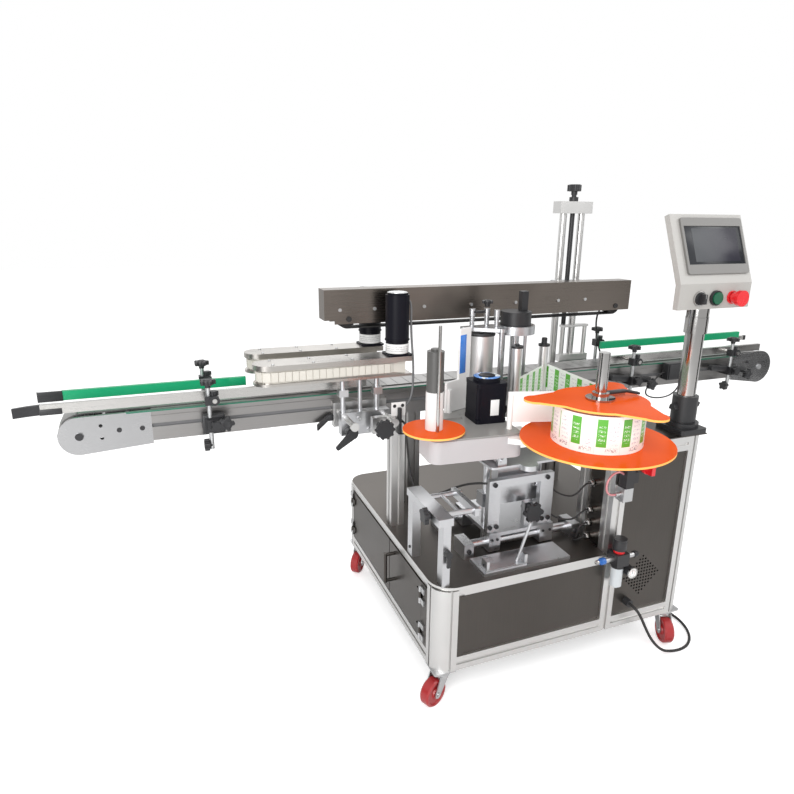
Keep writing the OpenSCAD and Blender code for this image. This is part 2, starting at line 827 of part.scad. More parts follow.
module rear_guide() {
    y = side_y1 - 30;
    color(cream) place() {
        chain_guide(y, guide_x1 - 30);
        difference() {
            box([-122, y + 88, carrier_z], [22, y + 116, carrier_z + carrier_h]);
            for (p = y_rods) rod_y([p.x, y + 80, p[1]], 60, rod_r + run);
        }
        for (x = guide_posts) {
            rod_z([x, y + 102, carrier_z + carrier_h], guide_z - 20 - carrier_z - carrier_h, rod_r);
            box([x - 14, y + 40, guide_z - 24], [x + 14, y + 116, guide_z]);
        }
    }
    color(black) place() guide_motor(37, y + 45);
}

module guide_stand() {
    col = [12, 352];
    color(alu) place() {
        bar_z([col.x, col.y, table_z], carrier_z - 4 - table_z);
        for (s = [0, 1]) {
            y = s ? side_y1 : side_y0 - 22;
            difference() {
                box([-130, y, 640], [30, y + 22, side_z0 + 60]);
                if (!s) rod_y([wheel_x, y - 1, carrier_z + 40], 30, 5 + run);
            }
            for (p = y_rods) rod_y([p.x, s ? y : rods_y, p[1]], s ? 125 : y - rods_y, rod_r);
        }
        for (p = y_rods) rod_y([p.x, rods_y, p[1]], 10, 12);
        difference() {
            box([wheel_x - 16, 352, 640], [col.x + bar_w, 372, carrier_z + 58]);
            rod_y([wheel_x, 350, carrier_z + 40], 30, 5 + run);
        }
        box([col.x, 352, carrier_z - 4], [col.x + bar_w, 372, 645]);
    }
}

module guide_handwheel() {
    z = carrier_z + 40;
    color(black) place() {
        rod_y([wheel_x, 296, z], side_y0 - 4 - 296, 5);
        translate([wheel_x, 306, z]) rotate([90, 0, 0]) star_knob(28, 14, 10);
    }
}

module guide_carrier() {
    y = 396;
    z = carrier_z;
    color(alu) place() {
        difference() {
            box([-122, y, z], [22, y + 30, z + carrier_h]);
            for (p = y_rods) rod_y([p.x, y - 1, p[1]], 32, rod_r + run);
            rod_y([wheel_x, y - 1, z + 40], 32, 5 + run);
            rod_y([clamp_x, y - 1, clamp_z], 32, 6 + run);
        }
        for (x = guide_posts) rod_z([x, y + 18, z + carrier_h], guide_z - z - carrier_h, rod_r);
        rod_z([-62, y + 18, z + carrier_h], guide_z - z - carrier_h, 6);
        for (x = guide_posts) box([x - 13, y + 5, guide_z - 44], [x + 13, y + 31, guide_z - 24]);
    }
}

clamp_x = -97;
clamp_z = carrier_z + 12;

module clamp_lever() {
    y = 396;
    color(black) place() {
        rod_y([clamp_x, y - 16, clamp_z], 40, 6);
        rod_y([clamp_x, y - 24, clamp_z], 24 - gap, 17);
        translate([clamp_x, y - 24, clamp_z]) rotate([90, 0, 0]) linear_extrude(8) union() {
            circle(14, $fn = 32);
            polygon([[6, -12], [-40, -40], [-47, -31], [-6, 12]]);
            translate([-43.5, -35.5]) circle(6, $fn = 24);
        }
    }
}

// Slide under the label head

slide_y = [142, 300];
slide_z = table_z + 23;
slide_r = 12.5;
slide_blocks = [129, tower_x - 38];
block_l = 28;
saddle_x = [[207, 242], [368, 410]];
mast_x = [224, 389];
mast_y = 180;
mast_r = 9;
bridge_z = slide_z + 24;

module slide_base() {
    top = table_z;
    color(alu) place() {
        for (x = slide_blocks, y = slide_y) box([x, y - 31, top], [x + block_l, y + 31, top + 42]);
        for (y = slide_y)
            rod_x([slide_blocks[0] + block_l - 1, y, slide_z],
                slide_blocks[1] - slide_blocks[0] - block_l + 2, slide_r);
        box([140, 19, top], [400, 100, top + 8]);
        side_stand();
        table_bracket();
    }
}

// Stand at the table's left edge with its beam, ladder bars, grip and clamp lever.
module side_stand() {
    beam_z0 = table_z + 170;
    box([18, 13, table_z], [38, 43, beam_z0]);
    box([3, 171, table_z], [27, 201, beam_z0]);
    box([0, 5, beam_z0], [40, 205, beam_z0 + 20]);
    for (y = [45, 150]) rod_x([39, y, beam_z0 + 10], 92, 7);
    box([110, 30, beam_z0], [122, 165, beam_z0 + 20]);
    rod_y([75, 44, beam_z0 + 10], 107, 5);
    translate([0, 62, beam_z0 + 8]) rotate([0, -90, 0]) translate([0, 0, 5]) star_knob(22, 12);
    translate([28, 13, table_z + 95]) rotate([90, 0, 0]) {
        cylinder(h = 16, r = 9, $fn = 32);
        translate([-4, -34, 8]) cube([9, 34, 7]);
    }
}

// U-shaped bracket at the table's front edge with its slanted rod.
module table_bracket() {
    z = table_z + 8;
    box([147, 22, z], [267, 50, z + 6]);
    for (x = [147, 259]) box([x, 22, z + 6], [x + 8, 50, z + 30]);
    translate([246, 40, z + 5]) rotate([8, 12, 0]) cylinder(h = 118, r = 4, $fn = 32);
}

module x_carriage() {
    top = bridge_z + 10;
    frame_top = 550;
    color(alu) place() {
        for (s = saddle_x, y = slide_y) difference() {
            box([s[0], y - 24, slide_z - 20], [s[1], y + 24, bridge_z]);
            rod_x([s[0] - 1, y, slide_z], s[1] - s[0] + 2, slide_r + run);
        }
        box([saddle_x[0][0], slide_y[0] - 24, bridge_z], [saddle_x[1][1], slide_y[1] + 24, top]);
        for (s = saddle_x) box([s[0], 131, top], [s[1], 149, frame_top]);
        box([saddle_x[0][1], 131, frame_top - 22], [saddle_x[1][0], 149, frame_top]);
        for (x = mast_x) rod_z([x, mast_y, top], 180, mast_r);
        difference() {
            box([322, 131, top], [352, 149, 470]);
            rod_y([337, 130, 448], 20, 6 + run);
        }
    }
}

module slide_handwheel() {
    color(black) place() {
        rod_y([337, 112, 448], 45, 6);
        translate([337, 118, 448]) rotate([90, 0, 0]) star_knob(30, 14, 6);
        rod_y([337, 149 + gap, 448], 8, 11);
    }
}

tilt_x = 225;
tilt_z = head_z - head_h - 20;
tilt_r = 6;
lift_block_z = 462;

module head_lift() {
    y0 = mast_y - 17;
    y1 = mast_y + 17;
    flange_z = tilt_z - 20;
    color(alu) place() {
        difference() {
            box([mast_x[0] - 18, y0, lift_block_z], [mast_x[1] + 18, y1, lift_block_z + 38]);
            for (x = mast_x) rod_z([x, mast_y, lift_block_z - 1], 40, mast_r + run);
        }
        box([250, y0, lift_block_z + 38], [363, y1, flange_z]);
        translate([190, 98, flange_z]) round_plate([210, 104], 12, 6);
        rod_z([300, 96, flange_z - 8], 14, 25);
        for (y = [104, 182]) difference() {
            union() {
                box([tilt_x - 13, y, flange_z + 6], [tilt_x + 13, y + 10, tilt_z]);
                rod_y([tilt_x, y, tilt_z], 10, 13);
            }
            rod_y([tilt_x, y - 1, tilt_z], 12, tilt_r - 1);
        }
        rod_y([tilt_x, 100, tilt_z], 96, tilt_r);
    }
}

// Label head

head_yaw = -4.8;
head_x = 17;
head_y = 92;
box_l = 250;
box_w = 190;
rewind_u = 28;
rewind_v = 66;
motor_u = 156;
motor_v = 92;
motor_s = 86;

// Places children in the head's own turned frame, from its front left corner.
module head() {
    translate([head_x, head_y, 0]) rotate(head_yaw) children();
}

module head_box() {
    z0 = head_z - head_h;
    color([0.86, 0.86, 0.9]) place() {
        head() difference() {
            union() {
                translate([0, 0, z0]) round_plate([box_l, box_w], 26, head_h - 4);
                translate([3, 3, head_z - 4]) round_plate([box_l - 6, box_w - 6], 23, 4);
            }
            translate([0, 0, z0 - 1]) linear_extrude(head_h + 2) polygon([[-5, 90], [-5, 195], [100, 195]]);
            translate([rewind_u, rewind_v, head_z - 45]) cylinder(h = 50, r = 8 + run, $fn = 32);
        }
        difference() {
            union() {
                box([tilt_x - 13, 120, tilt_z], [tilt_x + 13, 176, z0 + 1]);
                rod_y([tilt_x, 120, tilt_z], 56, 13);
            }
            rod_y([tilt_x, 119, tilt_z], 58, tilt_r + run);
        }
    }
}

module stepper_motor() {
    h = 108;
    color(black) place() head() translate([motor_u, motor_v, head_z]) {
        difference() {
            translate([0, 0, 0]) round_plate([motor_s, motor_s], 8, h);
            for (x = [0, motor_s], y = [0, motor_s])
                translate([x, y, 10]) cylinder(h = h - 20, r = 9, $fn = 24);
        }
        translate([motor_s / 2, motor_s / 2, h]) cylinder(h = 12, r = 36, $fn = 64);
        translate([motor_s / 2, motor_s / 2, h + 12]) cylinder(h = 3, r = 22, $fn = 64);
        translate([motor_s - 1, 30, 16]) cube([14, 26, 20]);
    }
}

roller_c = [284, 352];
roller_r = 39;
pull_c = [390, 346];
a_c = [340, 250];
b_c = [498, 352];
guide_roller_r = 17;
deck_z = head_z - 12;
peel_a = [140, 285];
peel_b = [231, 329];
peel_dir = atan2(peel_b.y - peel_a.y, peel_b.x - peel_a.x);

// Deck behind the head box, with the angled peel plate standing on it.
module peel_plate() {
    l = norm(peel_b - peel_a);
    color([0.9, 0.9, 0.92]) place() {
        difference() {
            translate([0, 0, deck_z]) linear_extrude(12) union() {
                translate(peel_a) circle(16, $fn = 48);
                polygon([[122, 290], [125, 262], [250, 262], [320, 228], [500, 300], [515, 352],
                    [500, 372], [284, 396], [240, 388], [136, 300]]);
                translate(b_c) circle(20, $fn = 48);
            }
            for (c = [roller_c, a_c, b_c])
                translate([c.x, c.y, deck_z - 1]) cylinder(h = 14, r = 6 + run, $fn = 32);
            head() translate([0, 0, deck_z - 1]) cube([box_l, box_w, 14]);
        }
        head() translate([60, 150, head_z]) round_plate([80, 55], 6, 4);
        translate([peel_a.x, peel_a.y, head_z]) rotate(peel_dir) {
            translate([0, -8, 0]) cube([l, 8, 90]);
            translate([l - 48, -8, 0]) cube([48, 8, 231]);
            translate([4, -16, 0]) cube([10, 9, 70]);
        }
    }
}

// Pinch bridge over the driven roller, with its spring screws and bearing block.
module press_head() {
    z = head_z;
    top = z + 214;
    color(alu) place() {
        for (p = [[238, 372], [330, 378], [326, 312]]) rod_z([p.x, p.y, z], top - z, 7);
        difference() {
            translate([0, 0, top]) linear_extrude(10) union() {
                translate([238, 372]) circle(12, $fn = 48);
                translate([330, 378]) circle(12, $fn = 48);
                translate([326, 312]) circle(12, $fn = 48);
                polygon([[228, 366], [240, 384], [332, 390], [342, 378], [338, 310], [322, 302]]);
            }
            translate([roller_c.x, roller_c.y, top - 1]) cylinder(h = 12, r = 6 + run, $fn = 32);
        }
        for (p = [[262, 372], [306, 366], [318, 330]]) {
            for (k = [0 : 4]) rod_z([p.x, p.y, top + 10 + k * 6], 4, 7);
            rod_z([p.x, p.y, top + 10], 38, 4);
            rod_z([p.x, p.y, top + 40], 20, 9);
        }
        for (a = [0, 120, 240]) translate([pull_c.x + 36 * cos(a), pull_c.y + 36 * sin(a), z])
            cylinder(h = 203, r = 5, $fn = 32);
        difference() {
            rod_z([pull_c.x, pull_c.y, z + 203], 24, 56);
            rod_z([pull_c.x, pull_c.y, z + 200], 30, 15);
        }
        rod_z([pull_c.x, pull_c.y, z], 228, 13);
        rod_z([pull_c.x, pull_c.y, z + 226], 40, 44);
        box([pull_c.x + 12, pull_c.y - 10, z + 265], [pull_c.x + 32, pull_c.y + 10, z + 322]);
    }
}

// Turning roller on a thin shaft, with flanges at its ends.
module roller(c, r, z1, cap) {
    z0 = head_z + 2;
    translate([c.x, c.y, 0]) {
        translate([0, 0, deck_z + 1]) cylinder(h = z1 - deck_z + cap, r = 6, $fn = 32);
        translate([0, 0, z0]) cylinder(h = 6, r = r + 3, $fn = 64);
        translate([0, 0, z0 + 6]) cylinder(h = z1 - z0 - 12, r = r, $fn = 64);
        translate([0, 0, z1 - 6]) cylinder(h = 6, r = r + 3, $fn = 64);
        if (cap > 10) translate([0, 0, z1]) cylinder(h = cap, r = r * 0.6, $fn = 48);
    }
}

module drive_roller() {
    color(chrome) place() roller(roller_c, roller_r - 3, head_z + 208, 10);
}

module roller_a() {
    color(chrome) place() roller(a_c, guide_roller_r - 3, head_z + 186, 4);
}

module roller_b() {
    color(chrome) place() roller(b_c, guide_roller_r - 3, head_z + 162, 18);
}

module rewinder() {
    z = head_z + 5;
    color(orange) place() head() translate([rewind_u, rewind_v, 0]) {
        translate([0, 0, z - 44]) cylinder(h = 45, r = 8, $fn = 32);
        translate([0, 0, head_z + gap]) cylinder(h = 5, r = 16, $fn = 48);
        translate([0, 0, z]) cylinder(h = 5, r = 79, $fn = 96);
        translate([0, 0, z + 5]) cylinder(h = 98, r = 22.5, $fn = 64);
        translate([0, 0, z + 103]) cylinder(h = 102, r = 21.5, $fn = 64);
        translate([0, 0, z + 205]) cylinder(h = 6, r = 12, $fn = 48);
        translate([0, -27, z + 5]) cylinder(h = 266, r = 4, $fn = 24);
        translate([-4, -27, z + 5]) cube([8, 27, 6]);
    }
}

// Label reel

disc_z = head_z + 5;
disc_t = 5;
roll_z = disc_z + disc_t + gap;
upper_z = roll_z + web_w + 6;
hub_r = 34.5;
spindle_r = 13.5;
arm_w = 46;
arm_z0 = head_z - 20;

module reel_arm() {
    a = [228, 84];
    b = [reel_x, reel_y];
    dir = atan2(b.y - a.y, b.x - a.x);
    wall_a = [232, 114];
    wall_b = [470, 47];
    wall_dir = atan2(wall_b.y - wall_a.y, wall_b.x - wall_a.x);
    color([0.88, 0.88, 0.9]) place() {
        difference() {
            union() {
                translate([a.x, a.y, arm_z0]) rotate(dir) translate([0, -arm_w / 2, 0])
                    cube([norm(b - a), arm_w, 14]);
                rod_z([b.x, b.y, arm_z0], 14, arm_w / 2 + 6);
                rod_z([b.x, b.y, arm_z0 - 20], disc_z - gap - arm_z0 + 20, 18);
            }
            rod_z([b.x, b.y, arm_z0 - 21], 60, 10 + run);
            head() translate([-20, 0, arm_z0 - 1]) cube([box_l + 20, 60, 20]);
        }
        head() translate([box_l, 10, arm_z0]) cube([24, 60, 14]);
        translate([wall_a.x, wall_a.y, disc_z + 13]) rotate(wall_dir)
            translate([6, 2, 0]) cube([norm(wall_b - wall_a) - 6, 8, 80]);
        rod_z([246, 116, head_z], 92, 7);
    }
}

// Rounded three-lobed plate, its flanks hollowed between the lobes.
module lobed_plate(r, h) {
    tip = 30;
    linear_extrude(h) difference() {
        union() {
            circle(r * 0.62, $fn = 96);
            for (a = [40, 160, 280]) rotate(a) {
                translate([r - tip, 0]) circle(tip, $fn = 64);
                polygon([[0, r * 0.6], [0, -r * 0.6], [r - tip, -tip], [r - tip, tip]]);
            }
        }
        circle(20, $fn = 64);
    }
}

module reel_discs() {
    color(orange) place() translate([reel_x, reel_y, 0]) {
        translate([0, 0, disc_z]) linear_extrude(disc_t) difference() {
            circle(reel_dia / 2, $fn = 128);
            circle(10, $fn = 64);
        }
        translate([0, 0, upper_z]) lobed_plate(reel_dia / 2, 5);
    }
}

module reel_hub() {
    color(chrome) place() translate([reel_x, reel_y, 0]) {
        translate([0, 0, arm_z0 - 24]) cylinder(h = disc_z + disc_t + 1 - arm_z0 + 24, r = 10, $fn = 32);
        translate([0, 0, arm_z0 - 26 - gap]) cylinder(h = 6, r = 14, $fn = 32);
        translate([0, 0, disc_z + disc_t]) cylinder(h = upper_z - disc_z - disc_t, r = 20, $fn = 64);
        translate([0, 0, upper_z - 1]) cylinder(h = 6, r = 20, $fn = 64);
        translate([0, 0, upper_z + 5]) cylinder(h = 5, r = hub_r, $fn = 64);
        translate([0, 0, upper_z + 10]) cylinder(h = 108, r = spindle_r, $fn = 48);
        translate([18, -4, upper_z + 10]) cube([52, 8, 8]);
        translate([0, 0, upper_z + 10]) cylinder(h = 12, r = 20, $fn = 48);
    }
}

module label_roll() {
    color([0.95, 0.96, 0.94]) place() translate([reel_x, reel_y, roll_z]) difference() {
        cylinder(h = web_w, r = roll_dia / 2, $fn = 128);
        translate([0, 0, -1]) cylinder(h = web_w + 2, r = 20 + gap, $fn = 64);
    }
}

// Taut stretches of the label web between the roll and the rollers.
module web_run(a, b) {
    d = atan2(b.y - a.y, b.x - a.x);
    translate([a.x, a.y, roll_z]) rotate(d) translate([0, -0.4, 0]) cube([norm(b - a), 0.8, web_w]);
}

module label_web() {
    r = guide_roller_r - 3 + 0.7;
    start = [reel_x + roll_dia / 2 + 0.8, reel_y];
    b_side = b_c + [r, 0];
    color([0.95, 0.96, 0.94]) place() {
        web_run(start, b_side);
        web_run(b_c + [-r * 0.5, -r * 0.87], a_c + [r * 0.5, -r * 0.87]);
    }
}

// Console

pole_x = tower_x + 255;
pole_y = 50;
console_z = 1008;
console_x = pole_x - 148;
lean = 21.8;
face_y = pole_y - 74;
knee_z = console_z + 63;
panel_l = 177;
button_z = console_z + 27;
selector_x = console_x + 64;
start_x = console_x + 117;
estop_x = console_x + 173;

module console_pole() {
    base_z = tower_z + sheet_t;
    r = pole_dia / 2;
    color(chrome) place() {
        translate([pole_x - 47, pole_y - 50, base_z]) round_plate([90, 100], 8, 14);
        rod_z([pole_x, pole_y, base_z + 14], 12, 42);
        rod_z([pole_x, pole_y, base_z + 26], 74, r + 9);
        for (s = [-1, 1]) translate([pole_x + s * (r + 7), pole_y, base_z + 70])
            rotate([0, s * 90, 0]) star_knob(12, 14, 3);
        rod_z([pole_x, pole_y, base_z + 100], console_z - 56 - base_z - 100, r);
        rod_z([pole_x, pole_y, console_z - 75], 43, r + 5);
        rod_z([pole_x, pole_y, console_z - 32], 30, 18);
    }
}

// Point in YZ on the leaning face, l up from the knee and t deep behind it.
function lean_point(l, t) = [
    face_y + l * sin(lean) + t * cos(lean),
    knee_z + l * cos(lean) - t * sin(lean)];

// Side outline of the shell: upright lower face, leaning upper face.
function shell_outline(t) = [
    [face_y, console_z], [face_y, knee_z], lean_point(panel_l, 0), lean_point(panel_l, t),
    [face_y + t, knee_z - t * tan(lean / 2)], [face_y + t, console_z]];

// Side outline of the box behind the shell, which the pole carries.
function rear_outline() = [
    [face_y + 5, console_z], [face_y + 5, knee_z], lean_point(panel_l - 24, 5),
    lean_point(panel_l - 24, 44), [face_y + 104, console_z + 95], [face_y + 104, console_z]];

module console_box() {
    color([0.9, 0.9, 0.9]) place() {
        difference() {
            union() {
                translate([console_x, 0, 0]) rotate([90, 0, 90]) linear_extrude(console_w)
                    polygon(shell_outline(16));
                translate([pole_x - 40, 0, 0]) rotate([90, 0, 90]) linear_extrude(80)
                    polygon(rear_outline());
                rod_z([pole_x, pole_y, console_z - 32 + gap], 33, pole_dia / 2 + 4);
                hmi();
            }
            rod_z([pole_x, pole_y, console_z - 33], 32, 18 + run);
            for (x = [selector_x, start_x, estop_x]) rod_y([x, face_y - 1, button_z], 32, 6 + run);
        }
    }
}

// Operator screen, proud of the leaning face, with its recessed display.
module hmi() {
    w = 200;
    h = 143;
    translate([console_x + (console_w - w) / 2 + 8, face_y, knee_z]) rotate([-lean, 0, 0])
        translate([0, -6, panel_l - h - 11]) difference() {
            translate([0, 7, 0]) rotate([90, 0, 0]) round_plate([w, h], 6, 7);
            translate([7, -1, 24]) cube([w - 14, 3, 98]);
        }
}

// Push button seen from the front, its collar against the console face.
module button_at(x, y, z, stem_r, cap_r, cap_l, stand) {
    rod_y([x, y - stand, z], stand + 24, stem_r);
    rod_y([x, y - stand - cap_l, z], cap_l, cap_r);
}

module selector() {
    color(black) place() {
        button_at(selector_x, face_y, button_z, 6, 15, 8, gap);
        translate([selector_x - 4, face_y - gap - 22, button_z - 12]) cube([8, 15, 24]);
    }
}

module start_button() {
    color(green) place() button_at(start_x, face_y, button_z, 6, 15, 8, 4);
}

module estop() {
    color(red) place() {
        button_at(estop_x, face_y, button_z, 6, 13, 16, 8);
        rod_y([estop_x, face_y - 34, button_z], 11, 20);
    }
}

module main_switch() {
    color(red) place() {
        rod_y([switch_x, 6 - 4, switch_z], 28, 6);
        rod_y([switch_x, -4, switch_z], 10 - gap, 23);
        box([switch_x - 6, -22, switch_z - 21], [switch_x + 6, -3, switch_z + 21]);
    }
}

module air_unit() {
    x = tower_x + bar_w / 2;
    color(black) place() {
        box([x - 15, -30, 512], [x + 15, 0, 550]);
        box([x - 13, -32, 550], [x + 13, -4, 606]);
        box([x + 13, -26, 560], [x + 32, -8, 590]);
        rod_x([x - 30, -15, 531], 16, 6);
        rod_x([x - 48, -22, 344], 100, 7);
        box([x - 20, -42, 326], [x + 20, 0, 362]);
        rod_z([x, -22, 362], 8, 15);
        rod_z([x, -22, 370], 32, 18);
        rod_z([x, -22, 262], 65, 16);
        rod_z([x, -22, 254], 9, 6);
        box([x, -30, 296], [x + 38, -16, 308]);
        rod_y([x + 34, -44, 302], 28, 15);
        gland_y();
        for (z = gland_heights) gland_side(z);
    }
}

// Cable glands in the tower's front panel and left wall.
module gland_y() {
    rod_y([gland_x, -10, gland_z], 26, 8);
    rod_y([gland_x, -14, gland_z], 20, 11);
}

module gland_side(z) {
    x = tower_x + 6;
    rod_x([x - 12, 72, z], 26, 8);
    rod_x([x - 16, 72, z], 16, 11);
}

// Power cord from the front gland to the floor, and its coil under the cabinet

cord_r = 4;
cord_route = [for (p = [
    [0, -14, 177], [0, -30, 176], [4, -44, 168], [13, -52, 148], [27, -57, 118], [47, -59, 84],
    [73, -58, 52], [105, -54, 24], [139, -50, 8], [175, -52, 5], [211, -44, 5], [245, -20, 5],
    [269, 16, 5], [281, 60, 5], [277, 106, 5], [259, 148, 5], [225, 180, 5], [179, 200, 5],
    [127, 208, 5], [93, 209.5, 5], [63, 209.5, 5]]) [gland_x + p.x, p.y, p.z]];
coil_c = [gland_x + 3, 330];
coil_r = 125;

// Smooth points along the route, a Catmull-Rom curve through the list.
function spline(p, k) = [
    for (i = [0 : len(p) - 2], j = [0 : k - 1])
        let (a = p[max(i - 1, 0)], b = p[i], c = p[i + 1], d = p[min(i + 2, len(p) - 1)], t = j / k)
            0.5 * (2 * b + t * (c - a) + t * t * (2 * a - 5 * b + 4 * c - d)
                + t * t * t * (3 * b - a - 3 * c + d))];

// Tube swept along points by a closed polyhedron.
module tube(p, r, sides) {
    n = len(p);
    rings = [for (i = [0 : n - 1])
        let (d = unit(p[min(i + 1, n - 1)] - p[max(i - 1, 0)]),
            s = unit(cross(d, abs(d.z) > 0.9 ? [1, 0, 0] : [0, 0, 1])), u = cross(s, d))
            for (k = [0 : sides - 1]) p[i] + r * (cos(k * 360 / sides) * s + sin(k * 360 / sides) * u)];
    walls = [for (i = [0 : n - 2], k = [0 : sides - 1])
        let (a = i * sides + k, b = i * sides + (k + 1) % sides) [a, b, b + sides, a + sides]];
    polyhedron(rings, concat(walls, [[for (k = [sides - 1 : -1 : 0]) k],
        [for (k = [0 : sides - 1]) (n - 1) * sides + k]]));
}

module power_cord() {
    color(black) place() tube(concat(spline(cord_route, 4), [cord_route[len(cord_route) - 1]]), cord_r, 8);
}

module cord_coil() {
    color(black) place() translate([coil_c.x, coil_c.y, 0]) rotate_extrude($fn = 64)
        translate([coil_r - 34, 1]) square([34, 16.5]);
}

cabinet_frame();
cabinet_panels();
table_top();
door_front();
door_rear();
steel_hardware();
fork_fl();
fork_fr();
fork_rl();
fork_rr();
wheel_fl();
wheel_fr();
wheel_rl();
wheel_rr();
conveyor_sides();
end_plates();
slat_chain();
drive_sprocket();
idler_sprocket();
rail_front();
rail_rear();
rail_brackets();
lift_posts();
lift_screw();
beam_housing();
beam_carriage();
press_belt();
guide_stand();
guide_handwheel();
guide_carrier();
clamp_lever();
front_guide();
guide_motor_front();
rear_guide();
slide_base();
x_carriage();
slide_handwheel();
head_lift();
head_box();
stepper_motor();
peel_plate();
press_head();
drive_roller();
roller_a();
roller_b();
rewinder();
reel_arm();
reel_discs();
reel_hub();
label_roll();
label_web();
console_pole();
console_box();
selector();
start_button();
estop();
main_switch();
air_unit();
power_cord();
cord_coil();
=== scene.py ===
import math

import bpy
from mathutils import Matrix, Vector


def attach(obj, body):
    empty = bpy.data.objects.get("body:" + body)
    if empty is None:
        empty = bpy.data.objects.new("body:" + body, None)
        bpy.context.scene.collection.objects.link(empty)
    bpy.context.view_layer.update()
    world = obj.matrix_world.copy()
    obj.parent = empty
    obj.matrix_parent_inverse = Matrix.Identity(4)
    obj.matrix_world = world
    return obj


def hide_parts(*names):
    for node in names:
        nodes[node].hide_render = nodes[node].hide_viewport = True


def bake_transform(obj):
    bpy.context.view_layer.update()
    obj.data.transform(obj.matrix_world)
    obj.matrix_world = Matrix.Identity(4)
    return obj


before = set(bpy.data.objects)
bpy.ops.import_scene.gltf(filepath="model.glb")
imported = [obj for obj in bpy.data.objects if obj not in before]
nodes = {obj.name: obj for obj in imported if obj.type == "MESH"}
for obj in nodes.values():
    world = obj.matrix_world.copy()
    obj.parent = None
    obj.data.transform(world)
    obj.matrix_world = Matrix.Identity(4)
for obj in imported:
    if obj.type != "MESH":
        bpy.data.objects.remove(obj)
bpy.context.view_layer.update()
mm = 0.001
frontCorner = (352.5, 260.25)  # from the cabinet's left front corner to the origin, across and in depth
print("frame loaded,", len(nodes), "nodes")


# Places are in millimetres from the cabinet's left front corner, at floor level.
def at(x, y, z):
    return Vector(((x - frontCorner[0]) * mm, (y - frontCorner[1]) * mm, z * mm))


cameraSetup = {
    "place": (-571.4, -1180, 1219.6),
    "aim": (21.3222, 16.2136, 0.5518),  # degrees: to the right, downwards, roll
    "lens": 27.92,
    "sensor": 36,
}


def setCamera(setup):
    data = bpy.data.cameras.new("camera")
    camera = bpy.data.objects.new("camera", data)
    bpy.context.scene.collection.objects.link(camera)
    data.lens = setup["lens"]
    data.sensor_width = setup["sensor"]
    data.sensor_fit = "HORIZONTAL"
    yaw, down, roll = (math.radians(a) for a in setup["aim"])
    ahead = Vector((math.sin(yaw) * math.cos(down), math.cos(yaw) * math.cos(down), -math.sin(down)))
    level = Vector((math.cos(yaw), -math.sin(yaw), 0))
    upright = level.cross(ahead)
    right = level * math.cos(roll) + upright * math.sin(roll)
    up = upright * math.cos(roll) - level * math.sin(roll)
    turn = Matrix((right, up, -ahead)).transposed().to_4x4()
    camera.matrix_world = Matrix.Translation(at(*setup["place"])) @ turn
    bpy.context.scene.camera = camera


setCamera(cameraSetup)


# A socket that takes part in Python sums; each sum adds its Math node.
class Term:
    def __init__(self, tree, socket=None):
        self.tree, self.socket = tree, socket

    def add(self, kind, settings={}, values={}, out=0):
        node = self.tree.nodes.new("ShaderNode" + kind)
        for key, value in settings.items():
            setattr(node, key, value)
        for key, value in values.items():
            if isinstance(value, Term):
                self.tree.links.new(value.socket, node.inputs[key])
            else:
                node.inputs[key].default_value = value
        return Term(self.tree, node.outputs[out])

    def maths(self, operation, *terms):
        return self.add("Math", {"operation": operation}, dict(enumerate(terms)))

    def __add__(self, other):
        return self.maths("ADD", self, other)

    def __sub__(self, other):
        return self.maths("SUBTRACT", self, other)

    def __rsub__(self, other):
        return self.maths("SUBTRACT", other, self)

    def __mul__(self, other):
        return self.maths("MULTIPLY", self, other)

    def __truediv__(self, other):
        return self.maths("DIVIDE", self, other)

    def __gt__(self, other):
        return self.maths("GREATER_THAN", self, other)

    def __lt__(self, other):
        return self.maths("LESS_THAN", self, other)

    def larger(self, other):
        return self.maths("MAXIMUM", self, other)

    def clamp(self):
        return self.maths("MINIMUM", self.larger(0.0), 1.0)

    def between(self, low, high):
        return (self > low) * (self < high)

    def fraction(self):
        return self.maths("FRACT", self)

    def root(self):
        return self.maths("SQRT", self)

    def angle(self, other):
        return self.maths("ARCTAN2", self, other)

    def parts(self):
        split = self.add("SeparateXYZ", {}, {0: self})
        return [Term(self.tree, socket) for socket in split.socket.node.outputs]

    def centred(self, centre):
        return self.add("Mapping", {}, {"Vector": self, "Location": tuple(-at(*centre))})

    def noise(self, stretch, detail=4, rough=0.5):
        spread = self.add("Mapping", {}, {"Vector": self, "Scale": stretch})
        return self.add("TexNoise", {}, {"Vector": spread, "Scale": 1.0, "Detail": detail, "Roughness": rough})

    def tint(self, first, second):
        ends = [c if isinstance(c, Term) else (*c, 1) for c in (first, second)]
        return self.add("Mix", {"data_type": "RGBA"}, {0: self, 6: ends[0], 7: ends[1]}, 2)  # its colour sockets

    def bump(self, strength, depth):
        return self.add("Bump", {}, {"Height": self, "Strength": strength, "Distance": depth})


def startMaterial(name):
    material = bpy.data.materials.new(name)
    material.use_nodes = True
    return material, Term(material.node_tree).add("TexCoord", out="Object")


def finishMaterial(material, values):
    shader = material.node_tree.nodes["Principled BSDF"]
    for key, value in values.items():
        if isinstance(value, Term):
            material.node_tree.links.new(value.socket, shader.inputs[key])
        elif key == "Base Color":
            shader.inputs[key].default_value = (*value, 1)
        else:
            shader.inputs[key].default_value = value
    return material


def shade(colour, share):
    return tuple(min(1, c * share) for c in colour)


# Brushed or drawn metal: fine streaks along the grain, soft smudges, and a thin scratch bump.
metalRange = {"dark": 0.72, "light": 1.28, "cloudRough": 0.18, "streakRough": 0.12, "depth": 0.0004}


